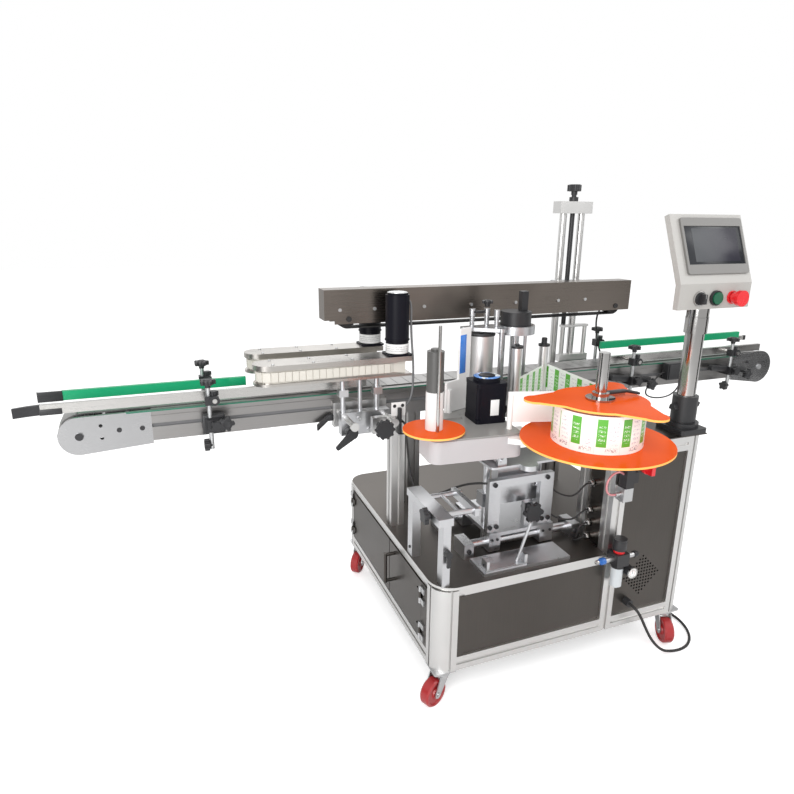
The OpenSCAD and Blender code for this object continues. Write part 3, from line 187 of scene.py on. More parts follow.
def brushedMetal(name, look):
    material, place = startMaterial(name)
    streaks = place.noise(look["grain"], 5, 0.65)
    clouds = place.noise((look["cloud"],) * 3, 3, 0.5)
    mark = (streaks - 0.5) * look["streak"] + (clouds - 0.5) * look["smudge"] + 0.5
    return finishMaterial(material, {
        "Base Color": mark.clamp().tint(shade(look["colour"], metalRange["dark"]),
                                        shade(look["colour"], metalRange["light"])),
        "Metallic": 1.0,
        "Roughness": ((clouds - 0.5) * metalRange["cloudRough"] + (streaks - 0.5) * metalRange["streakRough"]
                      + look["rough"]).clamp(),
        "Normal": streaks.bump(look["bump"], metalRange["depth"]),
    })


# Paint and moulded plastic: grain in the surface, faint colour drift, dust that dulls the gloss.
coatRange = {"dark": 0.82, "light": 1.16, "driftRough": 0.16, "grainRough": 0.1, "depth": 0.0003}


def coated(name, look):
    material, place = startMaterial(name)
    grain = place.noise((look["grain"],) * 3, 3, 0.6)
    drift = place.noise((7, 7, 7), 4, 0.55)
    mark = (drift - 0.5) * look["drift"] + 0.5
    return finishMaterial(material, {
        "Base Color": mark.clamp().tint(shade(look["colour"], coatRange["dark"]),
                                        shade(look["colour"], coatRange["light"])),
        "Roughness": ((drift - 0.5) * coatRange["driftRough"] + (grain - 0.5) * coatRange["grainRough"]
                      + look["rough"]).clamp(),
        "Coat Weight": look.get("coat", 0.0),
        "Coat Roughness": 0.12,
        "Specular IOR Level": look.get("gleam", 0.5),
        "Normal": grain.bump(look["bump"], coatRange["depth"]),
    })


metalLooks = {
    "steelSheet": {"colour": (0.094, 0.086, 0.079), "grain": (700, 700, 7), "streak": 0.5, "cloud": 3,
                   "smudge": 0.8, "rough": 0.36, "bump": 0.10},
    "steelTable": {"colour": (0.125, 0.115, 0.106), "grain": (8, 800, 800), "streak": 0.5, "cloud": 4,
                   "smudge": 0.6, "rough": 0.45, "bump": 0.10},
    "steelBeam": {"colour": (0.195, 0.170, 0.150), "grain": (6, 700, 700), "streak": 0.45, "cloud": 4,
                  "smudge": 0.7, "rough": 0.29, "bump": 0.08},
    "barAluminium": {"colour": (0.64, 0.635, 0.625), "grain": (420, 420, 420), "streak": 0.12, "cloud": 9,
                     "smudge": 0.25, "rough": 0.34, "bump": 0.05},
    "milledAluminium": {"colour": (0.58, 0.585, 0.60), "grain": (60, 900, 900), "streak": 0.35, "cloud": 12,
                        "smudge": 0.3, "rough": 0.30, "bump": 0.08},
    "drawnAluminium": {"colour": (0.60, 0.605, 0.62), "grain": (5, 900, 900), "streak": 0.4, "cloud": 8,
                       "smudge": 0.3, "rough": 0.32, "bump": 0.07},
    "sideAluminium": {"colour": (0.29, 0.282, 0.276), "grain": (5, 900, 900), "streak": 0.4, "cloud": 5,
                      "smudge": 0.5, "rough": 0.33, "bump": 0.07},
    "zincSteel": {"colour": (0.52, 0.525, 0.53), "grain": (130, 130, 130), "streak": 0.35, "cloud": 40,
                  "smudge": 0.45, "rough": 0.38, "bump": 0.10},
    "slatSteel": {"colour": (0.30, 0.295, 0.29), "grain": (500, 12, 500), "streak": 0.5, "cloud": 20,
                  "smudge": 0.4, "rough": 0.33, "bump": 0.10},
    "polishedSteel": {"colour": (0.47, 0.46, 0.45), "grain": (14, 14, 900), "streak": 0.16, "cloud": 7,
                      "smudge": 0.16, "rough": 0.13, "bump": 0.02},
    "railSteel": {"colour": (0.50, 0.49, 0.475), "grain": (6, 800, 800), "streak": 0.35, "cloud": 9,
                  "smudge": 0.35, "rough": 0.28, "bump": 0.06},
    "guideSteel": {"colour": (0.47, 0.45, 0.425), "grain": (7, 500, 500), "streak": 0.3, "cloud": 9,
                   "smudge": 0.4, "rough": 0.30, "bump": 0.06},
    "rollerSatin": {"colour": (0.78, 0.775, 0.77), "grain": (300, 300, 9), "streak": 0.3, "cloud": 12,
                    "smudge": 0.3, "rough": 0.38, "bump": 0.05},
    "platePolish": {"colour": (0.37, 0.37, 0.375), "grain": (9, 900, 900), "streak": 0.3, "cloud": 9,
                    "smudge": 0.25, "rough": 0.26, "bump": 0.05},
}
coatLooks = {
    "greyEnamel": {"colour": (0.47, 0.445, 0.452), "grain": 520, "drift": 0.35, "rough": 0.42, "bump": 0.10,
                   "coat": 0.15},
    # pale paint on the peel plate and reel arm, made whiter as painted light for the strong light falling on them
    "paleWallWithPaintedLight": {"colour": (0.87, 0.86, 0.85), "grain": 520, "drift": 0.2, "rough": 0.45, "bump": 0.08},
    "whiteEnamel": {"colour": (0.415, 0.405, 0.385), "grain": 650, "drift": 0.3, "rough": 0.40, "bump": 0.14},
    "blackPlastic": {"colour": (0.018, 0.018, 0.020), "grain": 900, "drift": 0.5, "rough": 0.42, "bump": 0.22},
    "blackEnamel": {"colour": (0.007, 0.007, 0.011), "grain": 500, "drift": 0.5, "rough": 0.38, "bump": 0.06,
                    "gleam": 0.12},
    "blackRubber": {"colour": (0.016, 0.015, 0.015), "grain": 700, "drift": 0.6, "rough": 0.62, "bump": 0.3},
    "redTread": {"colour": (0.33, 0.016, 0.018), "grain": 420, "drift": 0.8, "rough": 0.34, "bump": 0.15,
                 "coat": 0.2},
    "redPlastic": {"colour": (0.70, 0.012, 0.018), "grain": 300, "drift": 0.3, "rough": 0.25, "bump": 0.04,
                   "coat": 0.5},
    "greenPlastic": {"colour": (0.003, 0.095, 0.045), "grain": 300, "drift": 0.4, "rough": 0.28, "bump": 0.04,
                     "coat": 0.2},
    "sleeveWhite": {"colour": (0.74, 0.72, 0.71), "grain": 420, "drift": 0.25, "rough": 0.36, "bump": 0.05,
                    "coat": 0.2},
    "sleeveGrey": {"colour": (0.085, 0.083, 0.080), "grain": 260, "drift": 0.6, "rough": 0.34, "bump": 0.12},
    "deckGrey": {"colour": (0.29, 0.285, 0.275), "grain": 420, "drift": 0.35, "rough": 0.34, "bump": 0.08,
                 "coat": 0.1},
    "leadGrey": {"colour": (0.16, 0.16, 0.165), "grain": 500, "drift": 0.4, "rough": 0.45, "bump": 0.12},
    "stripGreen": {"colour": (0.004, 0.13, 0.075), "grain": 260, "drift": 0.5, "rough": 0.4, "bump": 0.10},
    "greenRail": {"colour": (0.004, 0.34, 0.145), "grain": 260, "drift": 0.5, "rough": 0.36, "bump": 0.10},
    "bluePlastic": {"colour": (0.015, 0.12, 0.42), "grain": 300, "drift": 0.3, "rough": 0.28, "bump": 0.04,
                    "coat": 0.3},
    "creamChain": {"colour": (0.60, 0.575, 0.52), "grain": 380, "drift": 0.6, "rough": 0.42, "bump": 0.12},
    "greyBezel": {"colour": (0.165, 0.16, 0.152), "grain": 900, "drift": 0.25, "rough": 0.38, "bump": 0.10},
    "darkGlass": {"colour": (0.024, 0.026, 0.030), "grain": 90, "drift": 0.5, "rough": 0.16, "bump": 0.01,
                  "gleam": 0.3},
    "blueFilm": {"colour": (0.05, 0.22, 0.70), "grain": 120, "drift": 0.5, "rough": 0.25, "bump": 0.12,
                 "coat": 0.4},
    "clearBowl": {"colour": (0.50, 0.53, 0.55), "grain": 90, "drift": 0.4, "rough": 0.12, "bump": 0.02,
                  "coat": 0.6},
    "pinkTube": {"colour": (0.62, 0.25, 0.27), "grain": 200, "drift": 0.5, "rough": 0.22, "bump": 0.04,
                 "coat": 0.5},
}
finishes = {name: brushedMetal(name, look) for name, look in metalLooks.items()}
finishes.update({name: coated(name, look) for name, look in coatLooks.items()})

# Cast acrylic sheet: smooth faces and paler cut edges, both with a painted glow, though the sheet is no lamp.
acrylicLook = {"face": (0.80, 0.105, 0.005), "deep": (0.68, 0.070, 0.003), "edge": (0.95, 0.46, 0.12),
               "cloud": 9, "scratch": (40, 600, 40), "rough": 0.16, "edgeRough": 0.25, "scratchRough": 0.12,
               "gleam": 0.03, "paintedGlow": 0.10, "paintedFaceGlow": 0.35}


def acrylicMaterial(name, look):
    material, place = startMaterial(name)
    side = place.add("TexCoord", out="Normal").parts()[2]
    cut = 1 - (side * side > 0.5)
    face = place.noise((look["cloud"],) * 3, 3, 0.5).tint(look["deep"], look["face"])
    scratches = place.noise(look["scratch"], 5, 0.7)
    return finishMaterial(material, {
        "Base Color": cut.tint(face, look["edge"]),
        "Roughness": (scratches * look["scratchRough"] + cut * look["edgeRough"] + look["rough"]).clamp(),
        "Specular IOR Level": look["gleam"],
        # painted glow: faces and cut edges emit light, though the sheet is no lamp
        "Emission Color": cut.tint(shade(look["face"], look["paintedFaceGlow"]), look["edge"]),
        "Emission Strength": look["paintedGlow"],
        "Normal": scratches.bump(0.03, 0.0002),
    })


finishes["orangeAcrylic"] = acrylicMaterial("orangeAcrylic", acrylicLook)

# Printed labels on the web: plain bars, blocks and specks that stand for no product. Each patch is given
# as a share of the label's pitch along the web, and of its height.
labelLook = {
    "pitch": 0.058, "bottom": 0.7103, "height": 0.09, "lines": 9, "lineShare": (0.25, 0.8), "gap": 0.965,
    "paper": (0.88, 0.91, 0.87), "leaf": (0.10, 0.42, 0.035), "plum": (0.40, 0.33, 0.44), "ink": (0.09, 0.07, 0.11),
    "block": ((0.04, 0.43), (0.20, 0.93)),
    "knockedOut": ((0.10, 0.36), (0.3, 0.8)),
    "text": ((0.52, 0.88), (0.12, 0.9)),
    "footLine": ((0.40, 0.90), (0.07, 0.16)),
    "inked": {"text": 0.75, "footLine": 0.8, "gap": 0.35},
}


def labelMaterial(name, look, along):
    material, place = startMaterial(name)
    up = (place.parts()[2] - look["bottom"]) / look["height"]
    cell = (along(place) / look["pitch"]).fraction()
    lines = (up * look["lines"]).fraction().between(*look["lineShare"])
    specks = place.noise((260, 260, 420), 5, 0.8) > 0.53

    def patch(part):
        across, height = look[part]
        return cell.between(*across) * up.between(*height)

    block = patch("block")
    knockedOut = patch("knockedOut") * specks * lines
    colour = (block * (1 - knockedOut)).tint(look["paper"], look["leaf"])
    colour = (patch("text") * specks * lines * look["inked"]["text"]).tint(colour, look["plum"])
    colour = (patch("footLine") * specks * look["inked"]["footLine"]).tint(colour, look["ink"])
    colour = ((cell > look["gap"]) * look["inked"]["gap"]).tint(colour, shade(look["paper"], 0.7))
    return finishMaterial(material, {
        "Base Color": colour,
        "Roughness": (block * -0.1 + 0.42).clamp(),
        "Coat Weight": 0.25,
        "Coat Roughness": 0.15,
        "Normal": place.noise((60, 60, 900), 3, 0.5).bump(0.06, 0.0003),
    })


# Print without words: grey lines on white, in rows.
bandLook = {"paper": (0.80, 0.80, 0.79), "ink": (0.22, 0.22, 0.24), "lines": 5, "lineShare": (0.3, 0.75),
            "bottom": 0.848, "height": 0.028, "printed": (0.18, 0.86)}


def bandMaterial(name, look):
    material, place = startMaterial(name)
    up = (place.parts()[2] - look["bottom"]) / look["height"]
    specks = place.noise((500, 500, 700), 4, 0.8) > 0.5
    lines = (up * look["lines"]).fraction().between(*look["lineShare"]) * up.between(*look["printed"])
    return finishMaterial(material, {
        "Base Color": (specks * lines * 0.8).tint(look["paper"], look["ink"]),
        "Roughness": (place.noise((90, 90, 90), 3, 0.5) * 0.2 + 0.32).clamp(),
        "Normal": place.noise((300, 300, 300), 3, 0.5).bump(0.05, 0.0002),
    })


# The screen is off: its film is painted paler at its left, darkening to the right, a painted reflection.
displayLook = {"left": 0.318, "wide": 0.12, "pale": (0.095, 0.10, 0.105), "dark": (0.028, 0.027, 0.038),
               "gleam": 0.2}


def displayMaterial(name, look):
    material, place = startMaterial(name)
    across = (place.parts()[0] - look["left"]) / look["wide"]
    drift = place.noise((3, 3, 5), 2, 0.4)
    return finishMaterial(material, {
        # painted reflection: pale at the screen's left, fading to dark towards its right
        "Base Color": (across + (drift - 0.5) * 0.25).clamp().tint(look["pale"], look["dark"]),
        "Roughness": (place.noise((60, 60, 60), 3, 0.5) * 0.1 + 0.2).clamp(),
        "Specular IOR Level": look["gleam"],
    })


# Crinkled film on the stepper motor's cap: pale where it has lifted, blue where it lies flat.
filmLook = {"pale": (0.80, 0.85, 0.84), "deep": (0.03, 0.22, 0.66), "patch": (26, 14, 14), "coat": 0.4}


def filmMaterial(name, look):
    material, place = startMaterial(name)
    patch = place.noise(look["patch"], 2, 0.6) > 0.5
    crinkle = place.noise((160, 160, 160), 4, 0.7)
    return finishMaterial(material, {
        "Base Color": (patch * 0.9 + 0.05).tint(look["deep"], look["pale"]),
        "Roughness": (crinkle * 0.3 + 0.12).clamp(),
        "Coat Weight": look["coat"],
        "Coat Roughness": 0.08,
        "Normal": crinkle.bump(0.3, 0.0006),
    })


# Gauge face with a ring of ticks and a red arc; the rings are in metres from its centre.
dialLook = {"centre": (561, -44, 302), "ticks": 14, "tickShare": 0.22, "tickRing": (0.0088, 0.0118),
            "arcRing": (0.0068, 0.0078), "arcFoot": -0.004, "paper": (0.85, 0.85, 0.83),
            "ink": (0.03, 0.03, 0.03), "red": (0.45, 0.03, 0.02), "coat": 0.6}


def dialMaterial(name, look):
    material, place = startMaterial(name)
    x, y, z = place.centred(look["centre"]).parts()
    reach = (x * x + z * z).root()
    turn = x.angle(z) * (look["ticks"] / math.pi)
    ticks = (turn.fraction() < look["tickShare"]) * reach.between(*look["tickRing"])
    arc = reach.between(*look["arcRing"]) * (z > look["arcFoot"])
    return finishMaterial(material, {
        "Base Color": (arc * 0.7).tint(ticks.tint(look["paper"], look["ink"]), look["red"]),
        "Roughness": (place.noise((90, 90, 90), 3, 0.5) * 0.1 + 0.25).clamp(),
        "Coat Weight": look["coat"],
    })


finishes["motorBand"] = bandMaterial("motorBand", bandLook)
finishes["displayFilm"] = displayMaterial("displayFilm", displayLook)
finishes["capFilm"] = filmMaterial("capFilm", filmLook)
finishes["dialPrint"] = dialMaterial("dialPrint", dialLook)

rollLook = {"centre": (388, -48, 0), "radius": 0.1075}


def roundRoll(place):
    x, y, z = place.centred(rollLook["centre"]).parts()
    return y.angle(x) * rollLook["radius"] + 1.0


def alongWeb(place):
    x, y, z = place.parts()
    return x * 0.8 + y + 2.0


finishes["rollPrint"] = labelMaterial("rollPrint", labelLook, roundRoll)
finishes["webPrint"] = labelMaterial("webPrint", labelLook, alongWeb)

nodeFinish = {
    "barAluminium": ["cabinet_frame", "guide_stand", "lift_posts"],
    "drawnAluminium": ["guide_carrier", "beam_carriage"],
    "sideAluminium": ["conveyor_sides"],
    "milledAluminium": ["slide_base", "x_carriage", "head_lift", "press_head"],
    "steelSheet": ["cabinet_panels", "door_front", "door_rear"],
    "steelTable": ["table_top"],
    "steelBeam": ["beam_housing"],
    "zincSteel": ["steel_hardware", "fork_fl", "fork_fr", "fork_rl", "fork_rr", "drive_sprocket",
                  "idler_sprocket"],
    "slatSteel": ["slat_chain"],
    "platePolish": ["end_plates"],
    "polishedSteel": ["reel_hub", "console_pole"],
    "rollerSatin": ["drive_roller", "roller_a", "roller_b"],
    "redTread": ["wheel_fl", "wheel_fr", "wheel_rl", "wheel_rr"],
    "greenRail": ["rail_rear"],
    "railSteel": ["rail_front"],
    "blackPlastic": ["rail_brackets", "lift_screw", "guide_handwheel", "clamp_lever", "slide_handwheel",
                     "selector", "air_unit"],
    "blackEnamel": ["guide_motor_front", "stepper_motor"],
    "blackRubber": ["press_belt", "power_cord", "cord_coil"],
    "creamChain": ["front_guide", "rear_guide"],
    "greyEnamel": ["head_box"],
    # pale paint made whiter as painted light
    "paleWallWithPaintedLight": ["peel_plate", "reel_arm"],
    "orangeAcrylic": ["rewinder", "reel_discs"],
    "rollPrint": ["label_roll"],
    "webPrint": ["label_web"],
    "whiteEnamel": ["console_box"],
    "greenPlastic": ["start_button"],
    "redPlastic": ["estop", "main_switch"],
}
for finish, names in nodeFinish.items():
    for name in names:
        node = nodes[name]
        node.data.materials.clear()
        node.data.materials.append(finishes[finish])


def near(x, y, places, reach):
    return any(math.hypot(x - px, y - py) < reach for px, py in places)


# Where one part shows several finishes: the first test that a face passes gives its finish.
# A test gets the face's centre in millimetres, and the way it looks.
bracketX = (-455, 935, 1385)
bracketPosts = [(x - 14, y) for x in bracketX for y in (436, 634)]
rollerFoot = 708.5
secondFinish = {
    "rewinder": [
        ("orangeAcrylic", lambda x, y, z, n: z < 710.4),
        ("sleeveWhite", lambda x, y, z, n: z < 808.2 and near(x, y, [(50.4, 155.4)], 24)),
        ("polishedSteel", lambda x, y, z, n: near(x, y, [(48.2, 128.5)], 6)),
        ("sleeveGrey", lambda x, y, z, n: True)],
    "front_guide": [
        ("creamChain", lambda x, y, z, n: 794 < z < 824),
        ("guideSteel", lambda x, y, z, n: True)],
    "rear_guide": [
        ("blackEnamel", lambda x, y, z, n: z > 841.3),
        ("creamChain", lambda x, y, z, n: 794 < z < 824),
        ("guideSteel", lambda x, y, z, n: z > 783),
        ("barAluminium", lambda x, y, z, n: True)],
    "rail_front": [
        ("blackPlastic", lambda x, y, z, n: x < -866),
        ("greenRail", lambda x, y, z, n: n.y > 0.5 and y > 488)],
    "rail_rear": [("zincSteel", lambda x, y, z, n: y > 591)],
    "rail_brackets": [
        ("zincSteel", lambda x, y, z, n: near(x, y, bracketPosts, 6.4) and abs(n.z) < 0.5)],
    "console_pole": [("blackPlastic", lambda x, y, z, n: z < 760.4)],
    "console_box": [  # the collar on the pole, then the frame round the screen
        ("polishedSteel", lambda x, y, z, n: z < 1007 and near(x, y, [(762, 50)], 34)),
        ("greyBezel", lambda x, y, z, n: z > 1075 and (y + 24) * 0.9285 - (z - 1071) * 0.3714 < -0.3)],
    "idler_sprocket": [("blackPlastic", lambda x, y, z, n: y < 471.5)],
    "conveyor_sides": [  # the grooves, their faces painted dark grey as painted shade in the recess
        ("leadGrey", lambda x, y, z, n: 688 < z < 699 and (470.5 < y < 477.5 or 592.5 < y < 599.5))],
    "slide_base": [  # the knob and the lever of the left bracket
        ("blackPlastic", lambda x, y, z, n: (x < -0.3 and z > 490) or (y < 12.7 and 400 < z < 460))],
    "head_box": [("deckGrey", lambda x, y, z, n: z > 696.2)],
    "peel_plate": [("deckGrey", lambda x, y, z, n: z < 704.5)],
    "press_head": [("blackPlastic", lambda x, y, z, n: z > 925.5 and near(x, y, [(390, 346)], 48))],
    "roller_a": [("blackPlastic", lambda x, y, z, n: z < rollerFoot or z > 879.5)],
    "roller_b": [("blackPlastic", lambda x, y, z, n: z < rollerFoot or z > 855.5)],
    "drive_roller": [("blackPlastic", lambda x, y, z, n: z < rollerFoot or z > 901.5)],
    "beam_housing": [("zincSteel", lambda x, y, z, n: y < 499.4)],
    "table_top": [("barAluminium", lambda x, y, z, n: abs(n.z) < 0.5)],
    "air_unit": [
        ("polishedSteel", lambda x, y, z, n: x < 511.5 and y > 50),
        ("zincSteel", lambda x, y, z, n: 511 < z < 550.5),
        ("redPlastic", lambda x, y, z, n: 362.2 < z < 370.2 and near(x, y, [(527, -22)], 15.3)),
        ("clearBowl", lambda x, y, z, n: 253 < z < 325 and near(x, y, [(527, -22)], 16.3)),
        ("zincSteel", lambda x, y, z, n: 336 < z < 352 and (x < 506 or x > 548))],
}
for name, layers in secondFinish.items():
    data = nodes[name].data
    for finish, test in layers:
        data.materials.append(finishes[finish])
    for face in data.polygons:
        x, y, z = face.center / mm
        for number, (finish, test) in enumerate(layers):
            if test(x + frontCorner[0], y + frontCorner[1], z, face.normal):
                face.material_index = number + 1
                break
print("materials ready,", len(finishes))


def selectOnly(piece):
    if bpy.context.mode != "OBJECT":
        bpy.ops.object.mode_set(mode="OBJECT")
    bpy.ops.object.select_all(action="DESELECT")
    piece.select_set(True)
    bpy.context.view_layer.objects.active = piece


def applyPlace(piece):
    selectOnly(piece)
    bpy.ops.object.transform_apply(location=True, rotation=True, scale=True)
    return piece


bevelAngle, smoothAngle = math.radians(40), math.radians(35)  # edges that are sharper are broken, or stay sharp


def softenEdges(piece, width):
    selectOnly(piece)
    bevel = piece.modifiers.new("bevel", "BEVEL")
    bevel.width = width * mm
    bevel.segments = 2
    bevel.limit_method = "ANGLE"
    bevel.angle_limit = bevelAngle
    bpy.ops.object.modifier_apply(modifier=bevel.name)
    return piece


def inMetres(shift):
    return tuple(part * mm for part in shift)


# Works the faces that look to one side, with one tool after another.
def shaped(piece, side, *steps):
    selectOnly(piece)
    bpy.ops.object.mode_set(mode="EDIT")
    bpy.ops.mesh.select_mode(type="FACE")
    bpy.ops.mesh.select_all(action="DESELECT")
    bpy.ops.object.mode_set(mode="OBJECT")
    for face in piece.data.polygons:
        face.select = face.normal.dot(Vector(side)) > 0.9
    bpy.ops.object.mode_set(mode="EDIT")
    for tool, amount in steps:
        if tool == "inset":
            bpy.ops.mesh.inset(thickness=amount * mm)
        elif tool == "extrude":
            bpy.ops.mesh.extrude_region_move(TRANSFORM_OT_translate={"value": inMetres(amount)})
        elif tool == "shift":
            bpy.ops.transform.translate(value=inMetres(amount))
        else:
            bpy.ops.transform.resize(value=amount)
    bpy.ops.mesh.select_all(action="SELECT")
    bpy.ops.mesh.normals_make_consistent(inside=False)
    bpy.ops.object.mode_set(mode="OBJECT")
    return piece


left, right, front, below, above = (-1, 0, 0), (1, 0, 0), (0, -1, 0), (0, 0, -1), (0, 0, 1)


# Block between two corners, its edges broken.
def block(name, low, high, edge=0.5):
    low, high = at(*low), at(*high)
    bpy.ops.object.select_all(action="DESELECT")
    bpy.ops.mesh.primitive_cube_add(size=1, location=(low + high) / 2)
    piece = bpy.context.active_object
    piece.name = name
    piece.scale = high - low
    applyPlace(piece)
    return softenEdges(piece, edge)


# Turned part along Z from the origin: each step insets the end face, then raises or sinks it.
def turned(name, radius, height, steps=(), edge=0.3, sides=40):
    bpy.ops.object.select_all(action="DESELECT")
    bpy.ops.mesh.primitive_cylinder_add(vertices=sides, radius=radius * mm, depth=height * mm,
                                        location=(0, 0, height * mm / 2))
    piece = bpy.context.active_object
    piece.name = name
    applyPlace(piece)
    tools = []
    for inset, rise in steps:
        tools += [("inset", inset), ("extrude", (0, 0, rise))]
    return softenEdges(shaped(piece, above, *tools), edge)


def move(piece, place, axis=above):
    turn = Vector(above).rotation_difference(Vector(axis)).to_matrix().to_4x4()
    piece.matrix_world = Matrix.Translation(at(*place)) @ turn
    return applyPlace(piece)


# Turns a piece about a pivot; where a new place is given, the pivot lands there.
def turnAbout(piece, pivot, angle, axis, place=None):
    piece.matrix_world = (Matrix.Translation(at(*(place or pivot))) @ Matrix.Rotation(angle, 4, axis)
                          @ Matrix.Translation(-at(*pivot)))
    return applyPlace(piece)


def copyOf(piece, name):
    twin = piece.copy()
    twin.data = piece.data.copy()
    twin.name = name
    bpy.context.scene.collection.objects.link(twin)
    return twin


def joined(pieces, name):
    selectOnly(pieces[0])
    for piece in pieces[1:]:
        piece.select_set(True)
    bpy.ops.object.join()
    pieces[0].name = name
    return pieces[0]


# The same part at several places, as one piece.
def scattered(model, name, places, axis):
    return joined([move(copyOf(model, name + str(n)), place, axis) for n, place in enumerate(places)], name)


def discard(piece):
    bpy.data.objects.remove(piece)


def seat(piece, body, finish="blackPlastic"):
    selectOnly(piece)
    if piece.type == "MESH":
        bpy.ops.object.shade_smooth_by_angle(angle=smoothAngle)
    piece.data.materials.clear()
    piece.data.materials.append(finishes[finish])
    if body:
        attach(piece, body)
    return piece


# Catmull-Rom line through places, the way a lead bends between its ties.
def smoothLine(places, fine):
    line = []
    for i in range(len(places) - 1):
        a, b = places[max(i - 1, 0)], places[i]
        c, d = places[i + 1], places[min(i + 2, len(places) - 1)]
        for j in range(fine):
            t = j / fine
            line.append(tuple(
                0.5 * (2 * q + t * (r - p) + t * t * (2 * p - 5 * q + 4 * r - s)
                       + t * t * t * (3 * q - p - 3 * r + s))
                for p, q, r, s in zip(a, b, c, d)))
    return line + [tuple(places[-1])]


leadSteps = 6  # points of a lead for each place on its route


def lead(name, places, thick, finish, body, fine=leadSteps):
    points = [at(*place) for place in smoothLine(places, fine)]
    data = bpy.data.curves.new(name, "CURVE")
    data.dimensions = "3D"
    data.bevel_depth = thick / 2 * mm
    data.bevel_resolution = 3
    data.use_fill_caps = True
    spline = data.splines.new("POLY")
    spline.points.add(len(points) - 1)
    for point, place in zip(spline.points, points):
        point.co = (*place, 1)
    piece = bpy.data.objects.new(name, data)
    bpy.context.scene.collection.objects.link(piece)
    piece["run"] = sum((b - a).length for a, b in zip(points, points[1:]))
    return seat(piece, body, finish)


# Supply cord: out of the gland, down to the floor, round the right castor and into its coil.
# The coil's first layer winds inwards on the floor, the second outwards on top of it.
supplyCord = {
    "thick": 8,
    "route": [
        (597, -14, 177), (597, -30, 176), (601, -44, 168), (610, -52, 148), (624, -57, 118),
        (644, -59, 84), (670, -58, 52), (702, -54, 24), (736, -50, 8), (772, -52, 5),
        (808, -44, 5), (842, -20, 5), (866, 16, 5), (878, 60, 5), (874, 106, 5),
        (856, 148, 5), (822, 180, 5), (776, 200, 5), (724, 208, 5), (680, 209.5, 5), (640, 209.5, 5)],
    "coilCentre": (600, 330), "coilOuter": 120.5, "coilInner": 95.5,
    "turns": 3,  # in each layer
    "steps": 36,  # in each turn
    "startAngle": -95, "floorHeight": 5, "layerRise": 8.2,
    "climb": 9,  # steps over which the cord climbs to the second layer
}


def coilPlaces(cord):
    places = []
    cx, cy = cord["coilCentre"]
    steps = cord["turns"] * cord["steps"]
    spread = cord["coilOuter"] - cord["coilInner"]
    for n in range(2 * steps):
        layer, k = divmod(n, steps)
        if layer == 0:
            radius = cord["coilOuter"] - spread * k / steps
            rise = cord["floorHeight"] + cord["layerRise"] * max(0, k - steps + cord["climb"]) / cord["climb"]
        else:
            radius = cord["coilInner"] + spread * k / steps
            rise = cord["floorHeight"] + cord["layerRise"]
        angle = math.radians(cord["startAngle"] - n * 360 / cord["steps"])
        places.append((cx + radius * math.cos(angle), cy + radius * math.sin(angle), rise))
    return places


cordPiece = lead("supplyCord", supplyCord["route"] + coilPlaces(supplyCord), supplyCord["thick"],
                 "blackRubber", "machine", fine=3)
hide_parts("power_cord", "cord_coil")
tuple(at(*supplyCord["route"][0]))
print("supply cord", round(cordPiece["run"], 2), "m")

# Socket screws along one axis, heads outwards; each kind is modelled once and copied.
screwSizes = {"small": (4, 2.6, 1.8), "plate": (6.2, 2.2, 2.4), "large": (6.6, 4, 3)}  # radius, height, hexagon
socketDepth = 0.6  # of the head's height
screwRows = {
    "blockScrews": ("large", "machine", front, "blackPlastic",
                    [(143, 111, 366), (483, 111, 366), (143, 269, 366), (483, 269, 366)]),
    "frameScrews": ("large", "x_carriage", front, "blackPlastic",
                    [(224, 131, 538), (389, 131, 538), (214, 131, 414), (234, 131, 414), (379, 131, 414),
                     (399, 131, 414)]),
    "saddleScrews": ("small", "x_carriage", front, "blackPlastic",
                     [(216, 118, 382), (232, 118, 382), (378, 118, 382), (400, 118, 382)]),
    "tailScrews": ("plate", "machine", front, "blackPlastic",
                   [(-692, 470, 690), (-637, 470, 689), (1501, 470, 706)]),
    "bracketScrews": ("small", "machine", left, "blackPlastic",
                      [(147, 36, 368), (3, 186, 520), (3, 186, 370)]),
    "guideScrews": ("small", "front_guide", above, "zincSteel",
                    [(x, y, 841) for x in (-300, -190, -80) for y in (424, 480)]),
    "farGuideScrews": ("small", "rear_guide", above, "zincSteel",
                       [(x, y, 841) for x in (-300, -190, -80) for y in (584, 640)]),
    "carrierScrews": ("large", "front_guide", front, "zincSteel", [(-70, 396, 676), (-40, 396, 641)]),
    "deckScrews": ("small", "head", above, "zincSteel",
                   [(262, 258, 700), (300, 280, 700), (420, 300, 700)]),
}
for name, (size, body, axis, finish, places) in screwRows.items():
    radius, height, hexagon = screwSizes[size]
    screw = turned("screwModel", radius, height, ((radius - hexagon, -height * socketDepth),), 0.3, 24)
    seat(scattered(screw, name, places, axis), body, finish)
    discard(screw)
print("screws placed,", sum(len(row[4]) for row in screwRows.values()))

